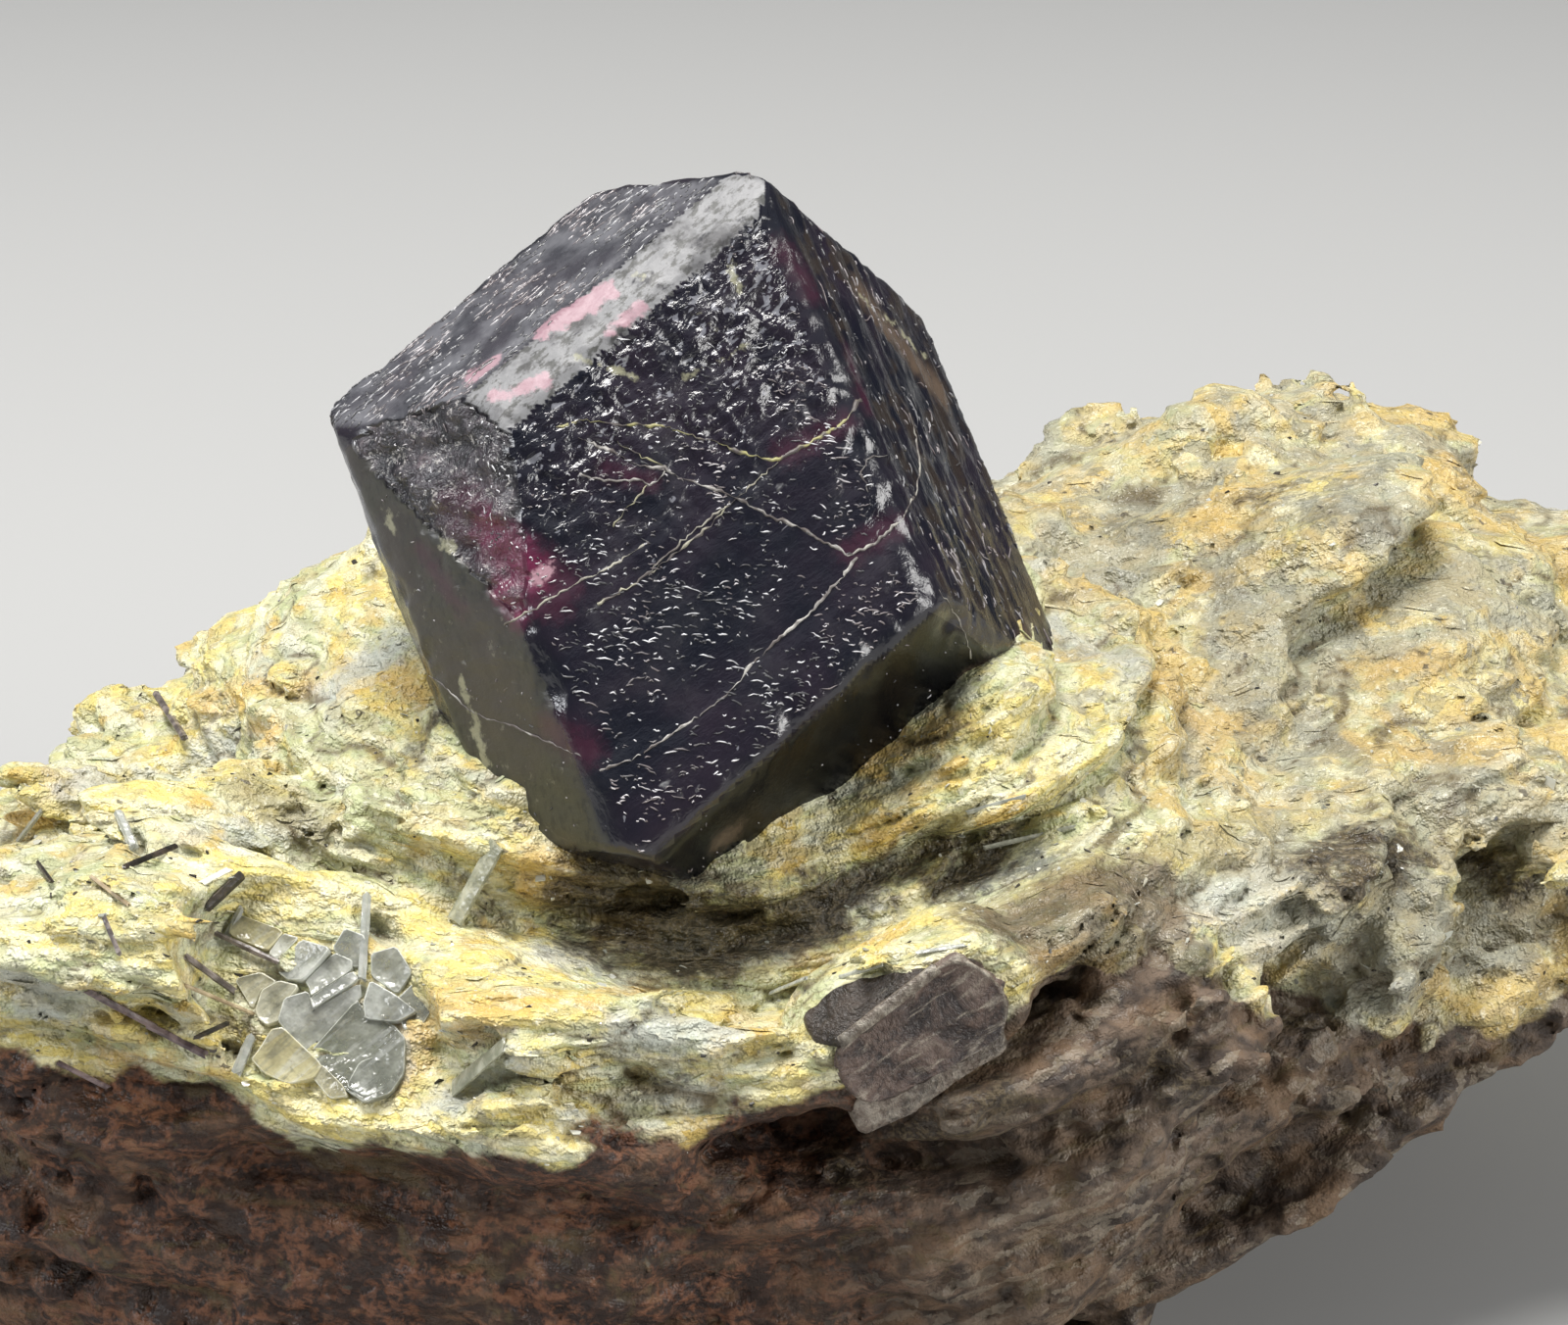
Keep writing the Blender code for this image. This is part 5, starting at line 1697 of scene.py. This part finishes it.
def make_plates(look):
    """Clear crystals side by side, each with a pale rim that is a painted highlight."""
    random = np.random.default_rng(3)
    axes = turned(PLATES_TURN)
    normal = axes[:, 2]
    first, last = on_plane(((300, 1050), (360, 1000)), PLATES_PLACE, normal)
    run = normalised(last - first)
    bodies, rims, yellows = [], [], []
    for rim, height, yellow in PLATES:
        height = 0.55 * height
        top = PLATES_PLACE + normal * (PLATES_TOP + height)
        outline = rounded_rim(on_plane(rim, top, normal))
        middle = outline.mean(axis=0)
        outline = middle + 1.06 * (outline - middle)
        tilt = random.normal(0.0, 0.09, 2)
        slope = ((outline - middle) @ axes[:, :2]) @ tilt
        outline = outline + normal * slope[:, None]
        inward = normalised(middle - outline)
        edge = ((0.0, PLATE_THICKNESS + height, 0.2), *PLATE_EDGE)
        bodies.append(stacked([outline + inward * step - normal * depth for step, depth, _ in edge]))
        rims.append(np.append(np.repeat([wear for *_, wear in edge], len(outline)), (0.0, 0.0)))
        yellows.append(np.full(len(rims[-1]), yellow))
    points, faces = join_bodies(bodies)
    piece = make_piece("clear_plates", points, faces, [look], ["mica_plates"])
    set_values(piece, rim=np.concatenate(rims), yellow=np.concatenate(yellows),
               along=points @ run, across=points @ np.cross(normal, run))


def make_book(look):
    """A stack of mica sheets: layered sides, a pale rim that along the top edge is partly a painted
    highlight, an uneven dark face, and a side facing up darkened with painted shade.
    """
    axes = turned(BOOK_TURN)
    normal = axes[:, 2]
    top = BOOK_PLACE + normal * BOOK_TOP
    corners = rounded_rim(on_plane(BOOK_RIM, top, normal), 2, 0.2)
    closed = thickened(np.concatenate((corners, corners[:1])), RIM_SPACING)[:-1]
    middle = closed.mean(axis=0)
    right_edge = on_plane(((1030, 1030),), top, normal)[0]
    flat = (closed - middle) @ axes
    rim_side = axes.T @ normalised(right_edge - middle)
    turns = np.arctan2(flat[:, 1], flat[:, 0])
    rings, rims = [], []
    for number in range(2 * BOOK_LAYERS):
        depth = BOOK_TOP * (1.0 - number / (2.0 * BOOK_LAYERS))
        edge = (0.03 if number % 2 else -0.05) + 0.09 * noise(
            np.cos(turns) * 3.0, np.sin(turns) * 3.0, 0.7 * (number // 2), 81)
        edge = edge + 0.07 * noise(np.cos(turns) * 11.0, np.sin(turns) * 11.0, 0.0, 82)
        stretch = 1.0 + edge / np.linalg.norm(flat[:, :2], axis=1)
        rings.append(middle + (closed - middle) * stretch[:, None] - normal * depth)
        rims.append(np.full(len(turns), 0.45 if number % 2 else 0.05))
    for share, height, rim in BOOK_FACE:
        ring = middle + (closed - middle) * share
        inner = (ring - middle) @ axes
        lumps = add_noises(0.0, (inner[:, 0], inner[:, 1], 0.0), BOOK_LUMPS)
        lumps *= 0.13 if share < 0.9 else 0.05
        rings.append(ring + normal * (height + lumps)[:, None])
        rims.append(rim * (0.35 + 0.65 * smooth_step(flat @ rim_side, -0.3, 1.2)
                           + 0.35 * noise(np.cos(turns) * 5.0, np.sin(turns) * 5.0, 0.0, 85)))
    body = stacked(rings)
    bar_ends = on_plane(((857, 1064), (956, 988)), top - normal * 0.01, normal)
    bar = rod_body(*bar_ends, normal, 0.2, 0.07, np.random.default_rng(5))
    step = layered_slab(on_plane(BOOK_STEP, top - normal * 0.2, normal), normal, 1.1)
    hidden = on_plane(((813, 1036),), top - normal * 1.2, normal)[0]
    slope = normalised(np.cross(bar_ends[1] - bar_ends[0], hidden - bar_ends[0]))
    slope = slope * np.sign((VIEW_POINT - hidden) @ slope)
    side = layered_slab(on_plane(BOOK_SIDE, bar_ends[0] - normal * 0.05, slope), slope, 0.8)
    points, faces = join_bodies([body, bar, step, side])
    piece = make_piece("mica_book_sheets", points, faces, [look], ["mica_book"])
    rims.append(np.zeros(2))
    # The side that faces up gets a negative number, which darkens it with painted shade; the bar along the
    # top edge is made pale, partly as a painted highlight
    rims += [np.full(len(part[0]), wear) for part, wear in ((bar, 0.8), (step, 0.6), (side, -0.8))]
    run = normalised(bar_ends[1] - bar_ends[0])
    set_values(piece, rim=np.concatenate(rims), along=(points - bar_ends[0]) @ run,
               across=(points - bar_ends[0]) @ np.cross(normal, run))


def layered_slab(rim, normal, depth):
    """A thick sheet with an uneven rim and lumpy top under a closed outline."""
    rim = rounded_rim(rim)
    closed = thickened(np.concatenate((rim, rim[:1])), RIM_SPACING)[:-1]
    middle = closed.mean(axis=0)
    ragged = add_noises(1.0, closed.T, SHEET_EDGE)
    closed = middle + (closed - middle) * ragged[:, None]
    rings = [closed - normal * depth]
    side = tuple((share, part * depth) for share, part in SHEET_SIDE)
    for share, height in side + SHEET_TOP:
        ring = middle + (closed - middle) * share + normal * height
        lumps = add_noises(0.0, ring.T, SHEET_LUMPS)
        rings.append(ring + normal * (0.09 * lumps)[:, None])
    return stacked(rings)


def rod_body(first, last, normal, width, thickness, random):
    """A rod between two points, with slanting ends."""
    run = normalised(last - first)
    normal = normalised(normal - (normal @ run) * run)
    side = np.cross(run, normal)
    turns = (np.arange(ROD_SIDES) + 0.5) / ROD_SIDES * 2.0 * math.pi
    rings = []
    for share in np.linspace(0.0, 1.0, ROD_RINGS):
        grow = 1.0 + random.normal(0.0, 0.06)
        slant = run * (random.normal(0.0, 0.05, ROD_SIDES) * (share in (0.0, 1.0)))[:, None]
        rings.append(first + (last - first) * share + slant + side * (np.cos(turns) * width * grow)[:, None]
                     + normal * (np.sin(turns) * thickness * grow)[:, None])
    return stacked(rings)


def make_rods(rock, looks):
    """Needles and tabular rods that lie on the rock."""
    random = np.random.default_rng(9)
    groups = {}
    for start, end, width, thickness, look in RODS:
        first, first_normal = on_surface(rock.tree, *start)
        last, last_normal = on_surface(rock.tree, *end)
        if first is None or last is None:
            continue
        normal = normalised(first_normal + last_normal)
        rise = 0.0
        for share in (0.25, 0.5, 0.75):
            between = on_surface(rock.tree, *(np.array(start) * (1.0 - share) + np.array(end) * share))[0]
            rise = max(rise, float((between - first - share * (last - first)) @ normal))
        lift = normal * (thickness * 0.7 + 0.8 * rise)
        body = rod_body(first + lift, last + lift, normal, width, thickness, random)
        groups.setdefault(look, []).append(body)
    for look, bodies in groups.items():
        points, faces = join_bodies(bodies)
        make_piece(look + "_rods", points, faces, [looks[look]], smooth=False)


def plate_look():
    look = Look("clear_mica", IOR=1.5)
    place = look.place()
    rim = look.value("rim")
    cloud = look.noise(place, 0.9, 4.0, 0.6)
    lines = look.noise(place, 3.0, 4.0, 0.65, 0.6)
    bands = look.grain((look.value("along"), look.value("across"), 0.0), (0.5, 4.0, 0.0), 3.0, 0.6, 0.3)
    colour = look.mix(cloud.ramp(0.38, 0.62), (0.52, 0.54, 0.5), (0.78, 0.8, 0.75))
    yellow = look.value("yellow")
    colour = look.coats(colour, (
        (yellow.ramp(0.0, 1.0), (0.7, 0.64, 0.38)),
        (yellow.ramp(-1.0, 0.0, 0.85, 0.0), (0.27, 0.28, 0.22)),
        (bands.ramp(0.52, 0.66, 0.0, 0.45), (0.8, 0.82, 0.78)),
        (bands.ramp(0.34, 0.46, 0.5, 0.0), (0.3, 0.31, 0.26)),
        (lines.ramp(0.58, 0.68, 0.0, 0.45), (0.22, 0.22, 0.17)),
    ))
    # Pale rims along the edges are a painted highlight
    worn = rim.ramp(0.45, 1.0) * lines.ramp(0.44, 0.6, 0.05, 0.85)
    colour = look.mix(worn, colour, (0.78, 0.79, 0.72))
    clear = rim.ramp(0.1, 0.8, 0.65, 0.2) * cloud.ramp(0.35, 0.65, 1.0, 0.55)
    height = look.noise(place, 1.6, 3.0, 0.6) + bands * 0.15
    return look.finished(Base_Color=colour, Transmission_Weight=clear, Normal=look.bump(height, 0.1),
                         Roughness=cloud.ramp(0.3, 0.7, 0.08, 0.25))


def book_look():
    look = Look("dark_mica", IOR=1.6)
    place = look.place()
    rim = look.value("rim")
    mottle = look.noise(place, 0.8, 5.0, 0.68, 0.4)
    fine = look.noise(place, 3.5, 4.0, 0.68)
    streaks = look.grain((look.value("along"), look.value("across"), 0.0), (0.7, 3.6, 0.0), 4.0, 0.65, 0.5)
    colour = look.mix(mottle.ramp(0.38, 0.58), (0.022, 0.013, 0.011), (0.13, 0.085, 0.066))
    colour = look.coats(colour, (
        (mottle.ramp(0.54, 0.68, 0.0, 0.7), (0.26, 0.21, 0.165)),
        # Pale streaks along the sheets are painted glints
        (streaks.ramp(0.54, 0.68, 0.0, 0.75), (0.38, 0.33, 0.26)),
        (streaks.ramp(0.3, 0.44, 0.7, 0.0), (0.02, 0.012, 0.01)),
        (fine.ramp(0.56, 0.7, 0.0, 0.5), (0.16, 0.125, 0.095)),
        # Darkens the side that faces up: painted shade
        (rim.ramp(-1.0, 0.0, 0.8, 0.0), (0.02, 0.015, 0.008)),
    ))
    # Pale sheet edges, along the top edge partly a painted highlight
    pale = look.mix(fine.ramp(0.4, 0.65), (0.14, 0.11, 0.08), (0.4, 0.36, 0.29))
    worn = rim.ramp(0.25, 0.8, 0.0, 0.9) * mottle.ramp(0.3, 0.55, 0.35, 1.0)
    colour = look.mix(worn, colour, pale)
    return look.finished(Base_Color=colour, Roughness=mottle.ramp(0.3, 0.7, 0.35, 0.55),
                         Normal=look.bump(mottle + fine * 0.4, 0.4))


def plain_mica(name, dark, light, roughness, clear=0.0):
    look = Look(name, Roughness=roughness, IOR=1.58, Transmission_Weight=clear)
    place = look.place()
    streaks = look.noise(place, 2.2, 4.0, 0.6, 0.5)
    return look.finished(Base_Color=look.mix(streaks.ramp(0.35, 0.68), dark, light),
                         Normal=look.bump(look.noise(place, 4.0, 2.0), 0.05))


make_camera()
make_stage()
make_lights()
garnet_tree = make_garnet([garnet_look("garnet", 0.38), garnet_look("garnet_dull", 0.14)])
make_dashes(ridge_look())
make_lines(garnet_tree, line_look())
schist_look = rock_look()
rock = make_rock(schist_look)
make_slivers("mica_slivers", 1300, 31, 0.6, 0.07, rock, schist_look)
make_flakes("mica_flakes", 900, 33, 0.16, 0.012, 0.5, rock, flake_look())
make_flakes("dark_specks", 450, 34, 0.1, 0.02, 0.8, rock, speck_look(), 1.4)
make_plates(plate_look())
make_book(book_look())
make_rods(rock, {kind: plain_mica(*row) for kind, row in MICAS.items()})
